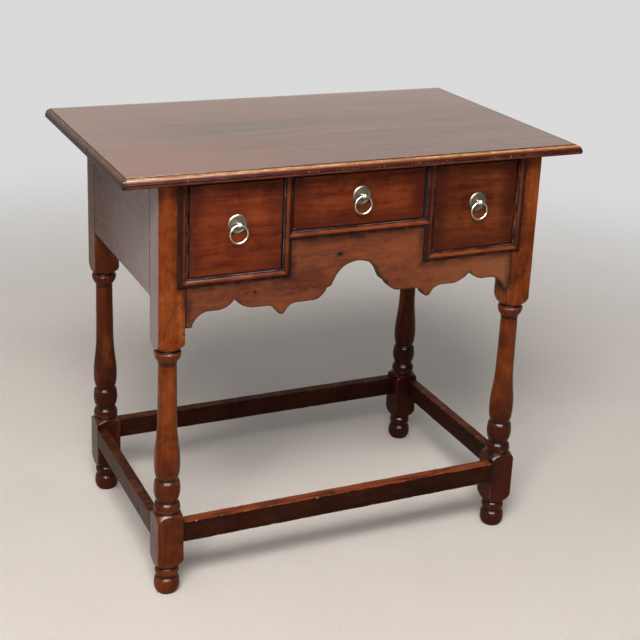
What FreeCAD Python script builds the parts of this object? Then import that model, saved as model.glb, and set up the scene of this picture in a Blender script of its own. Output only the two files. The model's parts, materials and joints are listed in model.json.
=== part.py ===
import FreeCAD, Part

import math
import os

from FreeCAD import Vector

# Lowboy: a side table with three drawers, a shaped apron, four turned legs and a box stretcher.
# Millimetres. +X runs to the right along the front, -Y is the front and +Z is up.
# The origin is on the floor, under the centre of the top.

# ---- Top ---------------------------------------------------------------------------------------
height = 718.0
top_width = 790.0
top_depth = 481.0
top_thick = 16.0
front_board_depth = 261.5
front_overhang = 25.0
back_overhang = 43.0
side_overhang = 62.0

# Moulded edge of the top, from its upper arris down: quirk, ovolo, step, fillet, rounded lower arris.
quirk_depth = 1.2
ovolo_width = 8.0
ovolo_drop = 7.4
fillet_step = 1.0
lower_round = 2.5
back_arris = 1.5

# ---- Legs --------------------------------------------------------------------------------------
leg_square = 44.0
upper_block_height = 269.0
upper_shoulder = 18.0
shoulder_bulge = 4.0
block_margin = 1.0

# Foot, from the floor up.
foot_pad_radius = 17.0
foot_radius = 21.4
foot_ball_height = 28.0
foot_ball_rise = 13.0
foot_ball_shoulder_radius = 20.4
foot_ball_shoulder_drop = 5.0
foot_neck_radius = 17.0
foot_groove_height = 2.5
foot_ring_radius = 19.8
foot_ring_height = 15.5
foot_height = 51.5
foot_neck_height = 2.5

# Lower block, with a tall shoulder below and a flat one above.
lower_block_height = 96.0
lower_shoulder_below = 18.5
lower_shoulder_above = 12.0
flat_shoulder_bulge = 0.4

# Turned members above the lower block. The ring is widest low down.
neck_radius = 17.4
member_radius = 21.8
low_ring_foot_radius = 18.5
low_ring_rise = 5.5
low_ring_height = 17.5
low_ring_shoulder_radius = 20.0
low_ring_shoulder_drop = 3.5
groove_height = 2.5
ball_height = 36.5
ball_rise = 18.5
ball_shoulder_radius = 20.6
ball_shoulder_drop = 4.5
belly_round_height = 14.0
belly_round_radius = 20.8
belly_round_bulge = 0.6
belly_height = 41.5
belly_bulge = 1.0
swell_radius = 19.3
swell_height = 43.0
swell_bulge = 0.53
column_foot_radius = 15.7
column_radius = 14.7

# Turned members below the upper block, measured down from it. The ring is widest high up.
high_neck_height = 2.5
high_groove_height = 2.5
high_ring_top_height = 3.5
high_ring_top_bulge = 0.8
high_ring_taper = 15.5
collar_radius = 15.3
collar_height = 2.5

# ---- Stretchers --------------------------------------------------------------------------------
stretcher_bottom = 95.0
stretcher_height = 36.5
long_stretcher_thick = 20.0
side_stretcher_thick = 18.0

# ---- Case --------------------------------------------------------------------------------------
front_thick = 20.0
side_panel_thick = 18.0
back_board_thick = 15.0
panel_height = 190.5
rail_thick = 7.0
side_opening_height = 147.0
centre_opening_height = 87.0
centre_opening_width = 234.0
divider_width = 15.0
jamb_lip = 1.0

# Tenons: each is centred in the thickness of its board, and inset from the board's edges.
tenon_thick = 8.0
tenon_length = 22.0
side_tenon_length = 20.0
stretcher_tenon_inset = 5.0
panel_tenon_inset = 9.0
panel_tenon_gap = 22.0
apron_tenon_inset = 10.0
divider_tenon_width = 7.0
divider_tenon_depth = 12.0
divider_tenon_length = 12.0
rail_tail_root = 10.0
rail_tail_tip = 15.0

# Lower outline of the apron, as heights above its general line and runs along it.
apron_below_sill = 59.5
arch_half_width = 40.0
arch_rise = 58.7
arch_spring_rise = 31.5
arch_flank_run = 5.0
arch_flank_drop = 10.0
notch_run = 8.0
notch_drop = 3.0
arch_lobe_run = 22.0
arch_lobe_bulge = 4.2
pendant_offset = 6.0
pendant_half_width = 26.0
pendant_tip_half_width = 6.5
pendant_drop = 17.0
pendant_side_drop = 13.0
pendant_bulge = 3.5
cusp_rise = 17.2
inner_lobe_bulge = 3.3
outer_lobe_bulge = 4.6
outer_lobe_rise = 2.5
leg_drop_run = 33.0
leg_drop_width = 10.0
leg_drop = 21.0
leg_drop_bulge = 4.7

# Runs of the apron's outline from the pendant to the drop beside the leg. They share the bay's width
# in these proportions.
inner_flat_run = 23.5
inner_lobe_run = 30.0
outer_lobe_run = 30.0
outer_flat_run = 16.0

# Bead strips around the drawer openings.
bead_width = 15.0
bead_proud = 5.5
bead_edge_height = 1.8
bead_flat_width = 2.8
bead_flat_height = 2.6

# ---- Inside the case ---------------------------------------------------------------------------
guide_gap = 1.3
runner_height = 12.0
runner_bearing = 15.0
outer_runner_bearing = 18.0
guide_height = 25.0
partition_foot = 18.0
kicker_width = 30.0
kicker_thick = 12.0
block_size = 20.0
block_length = 60.0
block_spacing = 105.0
blocks_per_side = 3

# ---- Drawers -----------------------------------------------------------------------------------
drawer_side_gap = 2.8
left_drawer_shift = 1.0
centre_drawer_shift = -1.0
right_drawer_shift = 0.0
drawer_front_rise = 1.2
drawer_front_drop = 1.2
drawer_rest_gap = 0.3
drawer_end_gap = 0.6
kicker_gap = 1.1
drawer_side_thick = 9.5
drawer_back_thick = 9.0
drawer_bottom_thick = 6.0
drawer_bottom_lift = 5.0
side_groove_depth = 4.0
front_groove_depth = 5.0
front_lap = 6.0
front_arris = 1.2
tail_tip_width = 26.0
tail_slope = 6.0
tail_spacing = 38.0

# ---- Ring pulls --------------------------------------------------------------------------------
side_pull_rise = 80.0
centre_pull_rise = 48.5
left_pull_offset = 2.5
centre_pull_offset = 1.0
right_pull_offset = 4.5
plate_radius = 16.0
plate_thick = 1.6
plate_rim_thick = 0.6
plate_bevel = 2.2
ring_radius = 14.4
ring_wire_radius = 1.6
eye_bore_radius = 2.15
eye_radius = 3.9
eye_half_width = 3.2
eye_waist_radius = 3.3
eye_end_radius = 2.8
eye_stand = 6.8
pin_collar_radius = 3.0
pin_collar_thick = 0.9
pin_neck_radius = 1.9
shank_radius = 1.7
shank_clearance = 0.15
clinch_length = 10.0
clinch_width = 3.0
clinch_thick = 1.2

# ---- Derived places ----------------------------------------------------------------------------
under_top = height - top_thick
front_y = front_overhang - top_depth / 2
back_y = top_depth / 2 - back_overhang
leg_outer_x = top_width / 2 - side_overhang
leg_inner_x = leg_outer_x - leg_square
front_leg_back_y = front_y + leg_square
back_leg_front_y = back_y - leg_square
front_back_y = front_y + front_thick
back_board_y = back_y - back_board_thick
upper_block_z = under_top - upper_block_height
lower_block_top = foot_height + lower_block_height
panel_z = under_top - panel_height
rail_z = under_top - rail_thick
side_sill_z = rail_z - side_opening_height
centre_sill_z = rail_z - centre_opening_height
centre_half = centre_opening_width / 2
step_half = centre_half + divider_width
jamb_x = leg_inner_x - jamb_lip
apron_line_z = side_sill_z - apron_below_sill
leg_drop_z = apron_line_z - leg_drop
kicker_z = under_top - kicker_thick
side_centre_x = (step_half + jamb_x) / 2
pendant_x = centre_half + divider_width / 2 + pendant_offset
bay_start = pendant_x + pendant_half_width
bay_end = leg_inner_x - leg_drop_run
bay_scale = (bay_end - bay_start) / (inner_flat_run + inner_lobe_run + outer_lobe_run + outer_flat_run)
partition_inner_x = centre_half - drawer_side_gap + guide_gap
partition_outer_x = step_half + drawer_side_gap - guide_gap


# ---- Shape helpers -----------------------------------------------------------------------------
def box(x0, x1, y0, y1, z0, z1):
    """Block between two opposite corners, given axis by axis."""
    return Part.makeBox(x1 - x0, y1 - y0, z1 - z0, Vector(x0, y0, z0))


def mirrored(shape):
    """The shape's twin on the other side of the middle plane."""
    return shape.mirror(Vector(0, 0, 0), Vector(1, 0, 0))


def bulge(a, b, sagitta):
    """Middle point of an arc from a to b that stands sagitta to the left of its chord."""
    run = b[0] - a[0]
    rise = b[1] - a[1]
    chord = math.hypot(run, rise)
    return ((a[0] + b[0]) / 2 - rise / chord * sagitta, (a[1] + b[1]) / 2 + run / chord * sagitta)


def arc_step(a, b, sagitta):
    """Outline step: an arc from a to b that stands sagitta to the left of its chord."""
    return (bulge(a, b, sagitta), b)


def outline_face(start, steps, place):
    """Closed face. A step of one point is a straight run, a step of two is an arc through the first."""
    edges = []
    here = start
    for step in steps + [(start,)]:
        if len(step) == 1:
            edges.append(Part.LineSegment(place(*here), place(*step[0])).toShape())
        else:
            edges.append(Part.Arc(place(*here), place(*step[0]), place(*step[1])).toShape())
        here = step[-1]
    return Part.Face(Part.Wire(edges))


def polygon_prism(points, place, travel):
    """Prism on a straight-sided outline."""
    steps = [(point,) for point in points[1:]]
    return outline_face(points[0], steps, place).extrude(travel)


def front_view(y):
    """Places outline points (x, z) on the plane at depth y."""
    return lambda x, z: Vector(x, y, z)


def plan_view(z):
    """Places outline points (x, y) on the plane at height z."""
    return lambda x, y: Vector(x, y, z)


def end_view(x):
    """Places outline points (y, z) on the plane at station x."""
    return lambda y, z: Vector(x, y, z)


# ---- Top ---------------------------------------------------------------------------------------
def edge_moulding(outer, inward):
    """Moulded edge from the lower arris up to the quirk, with its outer face at outer."""
    def at(inset, z):
        return (outer + inward * inset, z)

    quarter = 1 - math.sqrt(0.5)
    quirk_z = height - quirk_depth
    ovolo_z = quirk_z - ovolo_drop
    quirk_inset = ovolo_width + fillet_step
    start = at(lower_round, under_top)
    steps = [
        (at(lower_round * quarter, under_top + lower_round * quarter), at(0, under_top + lower_round)),
        (at(0, ovolo_z),),
        (at(fillet_step, ovolo_z),),
        (at(fillet_step + ovolo_width * quarter, quirk_z - ovolo_drop * quarter), at(quirk_inset, quirk_z)),
        (at(quirk_inset, height),),
    ]
    return start, steps


def walked_back(start, steps):
    """The same run of an outline, from its far end to its start."""
    points = [start] + [step[-1] for step in steps]
    back = []
    for index in range(len(steps) - 1, -1, -1):
        back.append(steps[index][:-1] + (points[index],))
    return points[-1], back


def top_slab():
    """The whole top: moulded on the front and both ends, with an eased back edge."""
    front_start, front_steps = edge_moulding(-top_depth / 2, 1)
    rear = top_depth / 2
    rear_steps = [
        ((rear - back_arris, height),),
        ((rear, height - back_arris),),
        ((rear, under_top + back_arris),),
        ((rear - back_arris, under_top),),
    ]
    length_bar = outline_face(front_start, front_steps + rear_steps, end_view(-top_width / 2))
    left_start, left_steps = edge_moulding(-top_width / 2, 1)
    right_start, right_steps = walked_back(*edge_moulding(top_width / 2, -1))
    end_steps = left_steps + [(right_start,)] + right_steps
    depth_bar = outline_face(left_start, end_steps, front_view(-top_depth / 2))
    slab = length_bar.extrude(Vector(top_width, 0, 0))
    return slab.common(depth_bar.extrude(Vector(0, top_depth, 0)))


def top_boards():
    """Two boards joined edge to edge along the length."""
    joint_y = front_board_depth - top_depth / 2
    slab = top_slab()
    half = top_width / 2
    front = slab.common(box(-half, half, -top_depth / 2, joint_y, under_top, height))
    back = slab.common(box(-half, half, joint_y, top_depth / 2, under_top, height))
    return front, back


# ---- Legs --------------------------------------------------------------------------------------
def lean(a, b):
    """Angle of the run from a to b from the vertical, outward."""
    return math.atan2(b[0] - a[0], b[1] - a[1])


def upright_arc(a, b):
    """Outline step: an arc from a that stands upright when it reaches b."""
    return arc_step(a, b, -math.dist(a, b) / 2 * math.tan(lean(a, b) / 2))


def ball_arcs(foot, wide, shoulder, top):
    """Outline of a ball or ring: out to its widest place, up to its shoulder, and over it, all tangent."""
    flank = math.dist(wide, shoulder) / 2 * math.tan(-lean(wide, shoulder) / 2)
    turn = 2 * lean(wide, shoulder) - lean(shoulder, top)
    over = math.dist(shoulder, top) / 2 * math.tan(turn / 2)
    return [upright_arc(foot, wide), arc_step(wide, shoulder, -flank), arc_step(shoulder, top, -over)]


def foot_steps():
    """Lathe outline, as (radius, height), from the floor to the lower block's upper shoulder."""
    corner = leg_square / math.sqrt(2) + block_margin
    pad = (foot_pad_radius, 0)
    ball_wide = (foot_radius, foot_ball_rise)
    ball_shoulder = (foot_ball_shoulder_radius, foot_ball_height - foot_ball_shoulder_drop)
    ball_top = (foot_neck_radius, foot_ball_height)
    ring_z = foot_ball_height + foot_groove_height
    ring_top = ring_z + foot_ring_height
    shoulder_foot = (foot_neck_radius, foot_height - foot_neck_height)
    shoulder_top = (corner, foot_height + lower_shoulder_below)
    flat_foot = (corner, lower_block_top - lower_shoulder_above)
    return [(pad,)] + ball_arcs(pad, ball_wide, ball_shoulder, ball_top) + [
        ((foot_neck_radius, ring_z),),
        ((foot_ring_radius, ring_z + foot_ring_height / 2), (foot_neck_radius, ring_top)),
        (shoulder_foot,),
        arc_step(shoulder_foot, shoulder_top, -shoulder_bulge),
        (flat_foot,),
        arc_step(flat_foot, (neck_radius, lower_block_top), -flat_shoulder_bulge),
    ]


def baluster_steps():
    """Lathe outline from the foot of the low ring to the foot of the tapering column."""
    ring_foot = (low_ring_foot_radius, lower_block_top)
    ring_wide = (member_radius, lower_block_top + low_ring_rise)
    ring_top = (neck_radius, lower_block_top + low_ring_height)
    ring_shoulder = (low_ring_shoulder_radius, ring_top[1] - low_ring_shoulder_drop)
    ball_foot = (neck_radius, ring_top[1] + groove_height)
    ball_wide = (member_radius, ball_foot[1] + ball_rise)
    ball_top = (neck_radius, ball_foot[1] + ball_height)
    ball_shoulder = (ball_shoulder_radius, ball_top[1] - ball_shoulder_drop)
    belly_foot = (neck_radius, ball_top[1] + groove_height)
    belly_round = (belly_round_radius, belly_foot[1] + belly_round_height)
    belly_top = (swell_radius, belly_round[1] + belly_height)
    swell_top = (column_foot_radius, belly_top[1] + swell_height)
    ring = [(ring_foot,)] + ball_arcs(ring_foot, ring_wide, ring_shoulder, ring_top)
    ball = [(ball_foot,)] + ball_arcs(ball_foot, ball_wide, ball_shoulder, ball_top)
    return ring + ball + [
        (belly_foot,),
        arc_step(belly_foot, belly_round, -belly_round_bulge),
        arc_step(belly_round, belly_top, -belly_bulge),
        arc_step(belly_top, swell_top, swell_bulge),
    ]


def capital_steps():
    """Lathe outline from the top of the column to the top of the leg."""
    corner = leg_square / math.sqrt(2) + block_margin
    shoulder_foot = (neck_radius, upper_block_z - high_neck_height)
    ring_top = (neck_radius, shoulder_foot[1] - high_groove_height)
    ring_wide = (member_radius, ring_top[1] - high_ring_top_height)
    collar_top = (collar_radius, ring_wide[1] - high_ring_taper)
    collar_z = collar_top[1] - collar_height
    return [
        ((column_radius, collar_z),),
        ((collar_radius, collar_z),),
        (collar_top,),
        upright_arc(collar_top, ring_wide),
        arc_step(ring_wide, ring_top, -high_ring_top_bulge),
        (shoulder_foot,),
        arc_step(shoulder_foot, (corner, upper_block_z + upper_shoulder), -shoulder_bulge),
        ((corner, under_top),),
        ((0, under_top),),
    ]


def leg_blank():
    """Turned leg on the origin: one lathe form within a square post."""
    steps = foot_steps() + baluster_steps() + capital_steps()
    lathe = outline_face((0, 0), steps, lambda r, z: Vector(r, 0, z))
    turned = lathe.revolve(Vector(0, 0, 0), Vector(0, 0, 1), 360)
    half = leg_square / 2
    return turned.common(box(-half, half, -half, half, 0, under_top))


def leg(x, y, mates):
    """Leg centred on (x, y), with a mortise for every tenon of its mates."""
    blank = leg_blank()
    blank.translate(Vector(x, y, 0))
    for mate in mates:
        blank = blank.cut(mate)
    return blank


# ---- Boards tenoned into the legs --------------------------------------------------------------
def board_along_x(y0, y1, z0, z1, tenon_spans):
    """Board between a left and a right leg, with a tenon for each height span at both ends."""
    board = box(-leg_inner_x, leg_inner_x, y0, y1, z0, z1)
    middle = (y0 + y1) / 2
    reach = leg_inner_x + tenon_length
    for low, high in tenon_spans:
        board = board.fuse(box(-reach, reach, middle - tenon_thick / 2, middle + tenon_thick / 2, low, high))
    return board.removeSplitter()


def board_along_y(x0, x1, z0, z1, tenon_spans):
    """Board between a front and a back leg, with a tenon for each height span at both ends."""
    board = box(x0, x1, front_leg_back_y, back_leg_front_y, z0, z1)
    middle = (x0 + x1) / 2
    y0 = front_leg_back_y - side_tenon_length
    y1 = back_leg_front_y + side_tenon_length
    for low, high in tenon_spans:
        board = board.fuse(box(middle - tenon_thick / 2, middle + tenon_thick / 2, y0, y1, low, high))
    return board.removeSplitter()


def panel_tenons():
    """Two tenons, one above the other, for a case board."""
    middle = (panel_z + under_top) / 2
    low = (panel_z + panel_tenon_inset, middle - panel_tenon_gap / 2)
    high = (middle + panel_tenon_gap / 2, under_top - panel_tenon_inset)
    return [low, high]


def side_panel():
    """Right-hand side of the case, flush with the legs' outer faces."""
    return board_along_y(leg_outer_x - side_panel_thick, leg_outer_x, panel_z, under_top, panel_tenons())


def back_board():
    """Back of the case, flush with the back legs."""
    return board_along_x(back_board_y, back_y, panel_z, under_top, panel_tenons())


def stretcher_tenons():
    """The one tenon of a stretcher."""
    low = stretcher_bottom + stretcher_tenon_inset
    return [(low, stretcher_bottom + stretcher_height - stretcher_tenon_inset)]


def long_stretcher(y0):
    """Front or back stretcher, with its front face at y0."""
    top = stretcher_bottom + stretcher_height
    return board_along_x(y0, y0 + long_stretcher_thick, stretcher_bottom, top, stretcher_tenons())


def side_stretcher():
    """Right-hand stretcher, flush with the legs' outer faces."""
    top = stretcher_bottom + stretcher_height
    inner = leg_outer_x - side_stretcher_thick
    return board_along_y(inner, leg_outer_x, stretcher_bottom, top, stretcher_tenons())


# ---- Apron, rail and dividers ------------------------------------------------------------------
def arch_steps():
    """Apron outline from the crown of the arch out to the first lobe's flat."""
    spring_z = apron_line_z + arch_spring_rise
    crown_z = apron_line_z + arch_rise
    sagitta = crown_z - spring_z
    radius = (arch_half_width ** 2 + sagitta ** 2) / (2 * sagitta)
    half_angle = math.asin(arch_half_width / radius) / 2
    crown_mid = (radius * math.sin(half_angle), crown_z - radius * (1 - math.cos(half_angle)))
    flank = (arch_half_width + arch_flank_run, spring_z - arch_flank_drop)
    notch = (flank[0] + notch_run, flank[1] - notch_drop)
    lobe_end = (notch[0] + arch_lobe_run, apron_line_z)
    return [
        (crown_mid, (arch_half_width, spring_z)),
        (flank,),
        (notch,),
        arc_step(notch, lobe_end, -arch_lobe_bulge),
    ]


def pendant_steps():
    """Apron outline round the pendant under a divider."""
    near = (pendant_x - pendant_half_width, apron_line_z)
    near_tip = (pendant_x - pendant_tip_half_width, apron_line_z - pendant_side_drop)
    far_tip = (pendant_x + pendant_tip_half_width, apron_line_z - pendant_side_drop)
    return [
        (near,),
        arc_step(near, near_tip, pendant_bulge),
        ((pendant_x, apron_line_z - pendant_drop), far_tip),
        arc_step(far_tip, (bay_start, apron_line_z), pendant_bulge),
    ]


def bay_steps():
    """Apron outline from the flat beside the pendant, over the cusp between two lobes, down to the leg."""
    lobe_start = (bay_start + inner_flat_run * bay_scale, apron_line_z)
    cusp = (lobe_start[0] + inner_lobe_run * bay_scale, apron_line_z + cusp_rise)
    outer_z = apron_line_z + outer_lobe_rise
    lobe_end = (cusp[0] + outer_lobe_run * bay_scale, outer_z)
    flat_end = (bay_end, outer_z)
    drop_foot = (leg_inner_x - leg_drop_width, leg_drop_z)
    return [
        (lobe_start,),
        arc_step(lobe_start, cusp, -inner_lobe_bulge * bay_scale),
        arc_step(cusp, lobe_end, -outer_lobe_bulge * bay_scale),
        (flat_end,),
        arc_step(flat_end, drop_foot, leg_drop_bulge),
        ((leg_inner_x, leg_drop_z),),
    ]


def mirrored_outline(start, steps):
    """The outline's twin, walked from its far end back to the middle."""
    far, back = walked_back(start, steps)
    return (-far[0], far[1]), [tuple((-x, z) for x, z in step) for step in back]


def apron():
    """Shaped front board: stepped above for the drawer openings, cut to an arch and lobes below."""
    crown = (0, apron_line_z + arch_rise)
    half = arch_steps() + pendant_steps() + bay_steps()
    start, steps = mirrored_outline(crown, half)
    top = [
        (leg_inner_x, side_sill_z),
        (step_half, side_sill_z),
        (step_half, centre_sill_z),
        (-step_half, centre_sill_z),
        (-step_half, side_sill_z),
        (-leg_inner_x, side_sill_z),
    ]
    steps = steps + half + [(point,) for point in top]
    board = outline_face(start, steps, front_view(front_y)).extrude(Vector(0, front_thick, 0))
    middle = (front_y + front_back_y) / 2
    reach = leg_inner_x + tenon_length
    low = leg_drop_z + apron_tenon_inset
    high = side_sill_z - apron_tenon_inset
    for side in (-1, 1):
        x0, x1 = sorted((side * leg_inner_x, side * reach))
        board = board.fuse(box(x0, x1, middle - tenon_thick / 2, middle + tenon_thick / 2, low, high))
    return board.removeSplitter()


def top_rail():
    """Thin rail over the drawers, dovetailed down into the front legs."""
    rail = box(-leg_inner_x, leg_inner_x, front_y, front_back_y, rail_z, under_top)
    middle = (front_y + front_back_y) / 2
    reach = leg_inner_x + tenon_length
    tail = [
        (leg_inner_x, middle - rail_tail_root / 2),
        (reach, middle - rail_tail_tip / 2),
        (reach, middle + rail_tail_tip / 2),
        (leg_inner_x, middle + rail_tail_root / 2),
    ]
    tongue = polygon_prism(tail, plan_view(rail_z), Vector(0, 0, rail_thick))
    return rail.fuse([tongue, mirrored(tongue)]).removeSplitter()


def divider():
    """Right-hand upright between the drawers, stub-tenoned into the apron and the rail."""
    post = box(centre_half, step_half, front_y, front_back_y, centre_sill_z, rail_z)
    middle_x = (centre_half + step_half) / 2
    middle_y = (front_y + front_back_y) / 2
    tenon = box(
        middle_x - divider_tenon_width / 2,
        middle_x + divider_tenon_width / 2,
        middle_y - divider_tenon_depth / 2,
        middle_y + divider_tenon_depth / 2,
        centre_sill_z - divider_tenon_length,
        under_top,
    )
    return post.fuse(tenon).removeSplitter()


# ---- Bead strips -------------------------------------------------------------------------------
def bead_section():
    """Half-round bead between two narrow flats, as (across, proud) steps from (0, 0)."""
    return [
        ((0, bead_edge_height),),
        ((bead_flat_width, bead_flat_height),),
        ((bead_width / 2, bead_proud), (bead_width - bead_flat_width, bead_flat_height)),
        ((bead_width, bead_edge_height),),
        ((bead_width, 0),),
    ]


def bead_upright(x0, plan):
    """Vertical strip whose left edge is at x0, trimmed to its outline in the front view."""
    z0 = centre_sill_z - side_opening_height
    face = outline_face((0, 0), bead_section(), lambda u, proud: Vector(x0 + u, front_y - proud, z0))
    bar = face.extrude(Vector(0, 0, height - z0))
    return bar.common(polygon_prism(plan, front_view(front_y - bead_proud), Vector(0, bead_proud, 0)))


def bead_level(z0, plan):
    """Horizontal strip whose lower edge is at z0, trimmed to its outline in the front view."""
    x0 = -leg_outer_x
    face = outline_face((0, 0), bead_section(), lambda u, proud: Vector(x0, front_y - proud, z0 + u))
    bar = face.extrude(Vector(2 * leg_outer_x, 0, 0))
    return bar.common(polygon_prism(plan, front_view(front_y - bead_proud), Vector(0, bead_proud, 0)))


def bead_strips():
    """Strips of the right-hand opening, mitred at its corners, and the strip under the centre drawer."""
    low = side_sill_z - bead_width
    outer_far = jamb_x + bead_width
    centre_low = centre_sill_z - bead_width
    centre_mid = centre_sill_z - bead_width / 2
    point_x = centre_half + bead_width / 2
    outer = [(outer_far, low), (outer_far, under_top), (jamb_x, under_top), (jamb_x, side_sill_z)]
    bottom = [(step_half, side_sill_z), (centre_half, low), (outer_far, low), (jamb_x, side_sill_z)]
    inner = [
        (centre_half, low),
        (step_half, side_sill_z),
        (step_half, under_top),
        (centre_half, under_top),
        (centre_half, centre_sill_z),
        (point_x, centre_mid),
        (centre_half, centre_low),
    ]
    centre = [
        (-centre_half, centre_low),
        (centre_half, centre_low),
        (point_x, centre_mid),
        (centre_half, centre_sill_z),
        (-centre_half, centre_sill_z),
        (-point_x, centre_mid),
    ]
    return {
        "outer": bead_upright(jamb_x, outer),
        "bottom": bead_level(low, bottom),
        "inner": bead_upright(centre_half, inner),
        "centre": bead_level(centre_low, centre),
    }


# ---- Inside the case ---------------------------------------------------------------------------
def partition():
    """Right-hand board behind a divider, which carries runners on both faces."""
    low = side_sill_z - partition_foot
    return box(partition_inner_x, partition_outer_x, front_back_y, back_board_y, low, under_top)


def outer_runner():
    """Right-hand rebated runner on the side panel: a bearing strip with a guide beside the drawer."""
    panel_face = leg_outer_x - side_panel_thick
    guide_x = jamb_x - drawer_side_gap + guide_gap
    bearing_x = guide_x - outer_runner_bearing
    low = side_sill_z - runner_height
    bearing = box(bearing_x, panel_face, front_leg_back_y, back_leg_front_y, low, side_sill_z)
    tongue = box(bearing_x, leg_inner_x, front_back_y, back_board_y, low, side_sill_z)
    guide = box(guide_x, panel_face, front_leg_back_y, back_leg_front_y, low, side_sill_z + guide_height)
    return bearing.fuse([tongue, guide]).removeSplitter()


def inner_runner():
    """Right-hand runner on the partition, under the inner side of a side drawer."""
    end = partition_outer_x + runner_bearing
    low = side_sill_z - runner_height
    return box(partition_outer_x, end, front_back_y, back_board_y, low, side_sill_z)


def centre_runner():
    """Right-hand runner on the partition, under the side of the centre drawer."""
    end = partition_inner_x - runner_bearing
    low = centre_sill_z - runner_height
    return box(end, partition_inner_x, front_back_y, back_board_y, low, centre_sill_z)


def kicker(x):
    """Strip under the top that keeps the drawer centred on x from tipping."""
    half = kicker_width / 2
    return box(x - half, x + half, front_back_y, back_board_y, kicker_z, under_top)


def glue_blocks():
    """Triangular blocks in the corner between the top and each side panel."""
    face_x = leg_outer_x - side_panel_thick
    section = [(face_x, under_top), (face_x - block_size, under_top), (face_x, under_top - block_size)]
    middle_y = (front_leg_back_y + back_leg_front_y) / 2
    blocks = []
    for index in range(blocks_per_side):
        y = middle_y + (index - (blocks_per_side - 1) / 2) * block_spacing - block_length / 2
        block = polygon_prism(section, front_view(y), Vector(0, block_length, 0))
        blocks = blocks + [block, mirrored(block)]
    return Part.makeCompound(blocks)


# ---- Drawers -----------------------------------------------------------------------------------
def tail_prisms(x0, x1, y_root, y_tip, z0, z1):
    """Row of dovetails between two heights, narrow at y_root and wide at y_tip, through x0 to x1."""
    count = max(1, int((z1 - z0) // tail_spacing))
    pitch = (z1 - z0) / count
    tip_half = tail_tip_width / 2
    root_half = tip_half - abs(y_tip - y_root) / tail_slope
    prisms = []
    for index in range(count):
        z = z0 + (index + 0.5) * pitch
        below = [(y_root, z - root_half), (y_tip, z - tip_half)]
        above = [(y_tip, z + tip_half), (y_root, z + root_half)]
        prisms.append(polygon_prism(below + above, end_view(x0), Vector(x1 - x0, 0, 0)))
    return prisms


def drawer_front_blank(x0, x1, z0, z1):
    """Front board with its outer arrises eased."""
    board = box(x0, x1, front_y, front_back_y, z0, z1)
    arrises = [edge for edge in board.Edges if abs(edge.BoundBox.YMax - front_y) < 1e-6]
    return board.makeFillet(front_arris, arrises)


def drawer(name, opening, shift, sill_z, pull):
    """Dovetailed drawer, shifted from the middle of its opening, with its ring pull at (x, z)."""
    x0 = opening[0] + drawer_side_gap + shift
    x1 = opening[1] - drawer_side_gap + shift
    rear = back_board_y - drawer_end_gap
    low = sill_z + drawer_rest_gap
    high = kicker_z - kicker_gap
    floor = low + drawer_bottom_lift
    floor_top = floor + drawer_bottom_thick
    lap_y = front_y + front_lap
    back_front_y = rear - drawer_back_thick
    sides = [(x0, x0 + drawer_side_thick), (x1 - drawer_side_thick, x1)]
    inset = drawer_side_thick - side_groove_depth
    bottom = box(x0 + inset, x1 - inset, front_back_y - front_groove_depth, rear, floor, floor_top)
    front = drawer_front_blank(x0, x1, sill_z + drawer_front_rise, rail_z - drawer_front_drop)
    back = box(x0, x1, back_front_y, rear, floor_top, high)
    side_boards = []
    for inner, outer in sides:
        front_tails = tail_prisms(inner, outer, front_back_y, lap_y, low, high)
        back_tails = tail_prisms(inner, outer, back_front_y, rear, floor_top, high)
        front = front.cut(front_tails)
        back = back.cut(back_tails)
        side = box(inner, outer, front_back_y, rear, low, high).fuse(front_tails)
        side_boards.append(side.removeSplitter())
    front = front.cut([bottom, pull_hole(*pull)])
    side_boards = [side.cut([back, bottom]) for side in side_boards]
    return {
        f"drawer_{name}_front": front,
        f"drawer_{name}_side_l": side_boards[0],
        f"drawer_{name}_side_r": side_boards[1],
        f"drawer_{name}_back": back,
        f"drawer_{name}_bottom": bottom,
        f"pull_plate_{name}": pull_plate(*pull),
        f"pull_pin_{name}": pull_pin(*pull),
        f"pull_ring_{name}": pull_ring(*pull),
    }


# ---- Ring pulls --------------------------------------------------------------------------------
def rod(radius, x, z, y0, y1):
    """Round rod from front to back between two depths."""
    return Part.makeCylinder(radius, y1 - y0, Vector(x, y0, z), Vector(0, 1, 0))


def pull_hole(x, z):
    """Hole through a drawer front for the shank of its pin."""
    return rod(shank_radius + shank_clearance, x, z, front_y, front_back_y)


def pull_plate(x, z):
    """Round backplate with a bevelled rim."""
    hole = shank_radius + shank_clearance
    steps = [
        ((plate_radius, 0),),
        ((plate_radius, plate_rim_thick),),
        ((plate_radius - plate_bevel, plate_thick),),
        ((hole, plate_thick),),
    ]
    section = outline_face((hole, 0), steps, lambda r, proud: Vector(x + r, front_y - proud, z))
    return section.revolve(Vector(x, front_y, z), Vector(0, 1, 0), 360)


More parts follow.
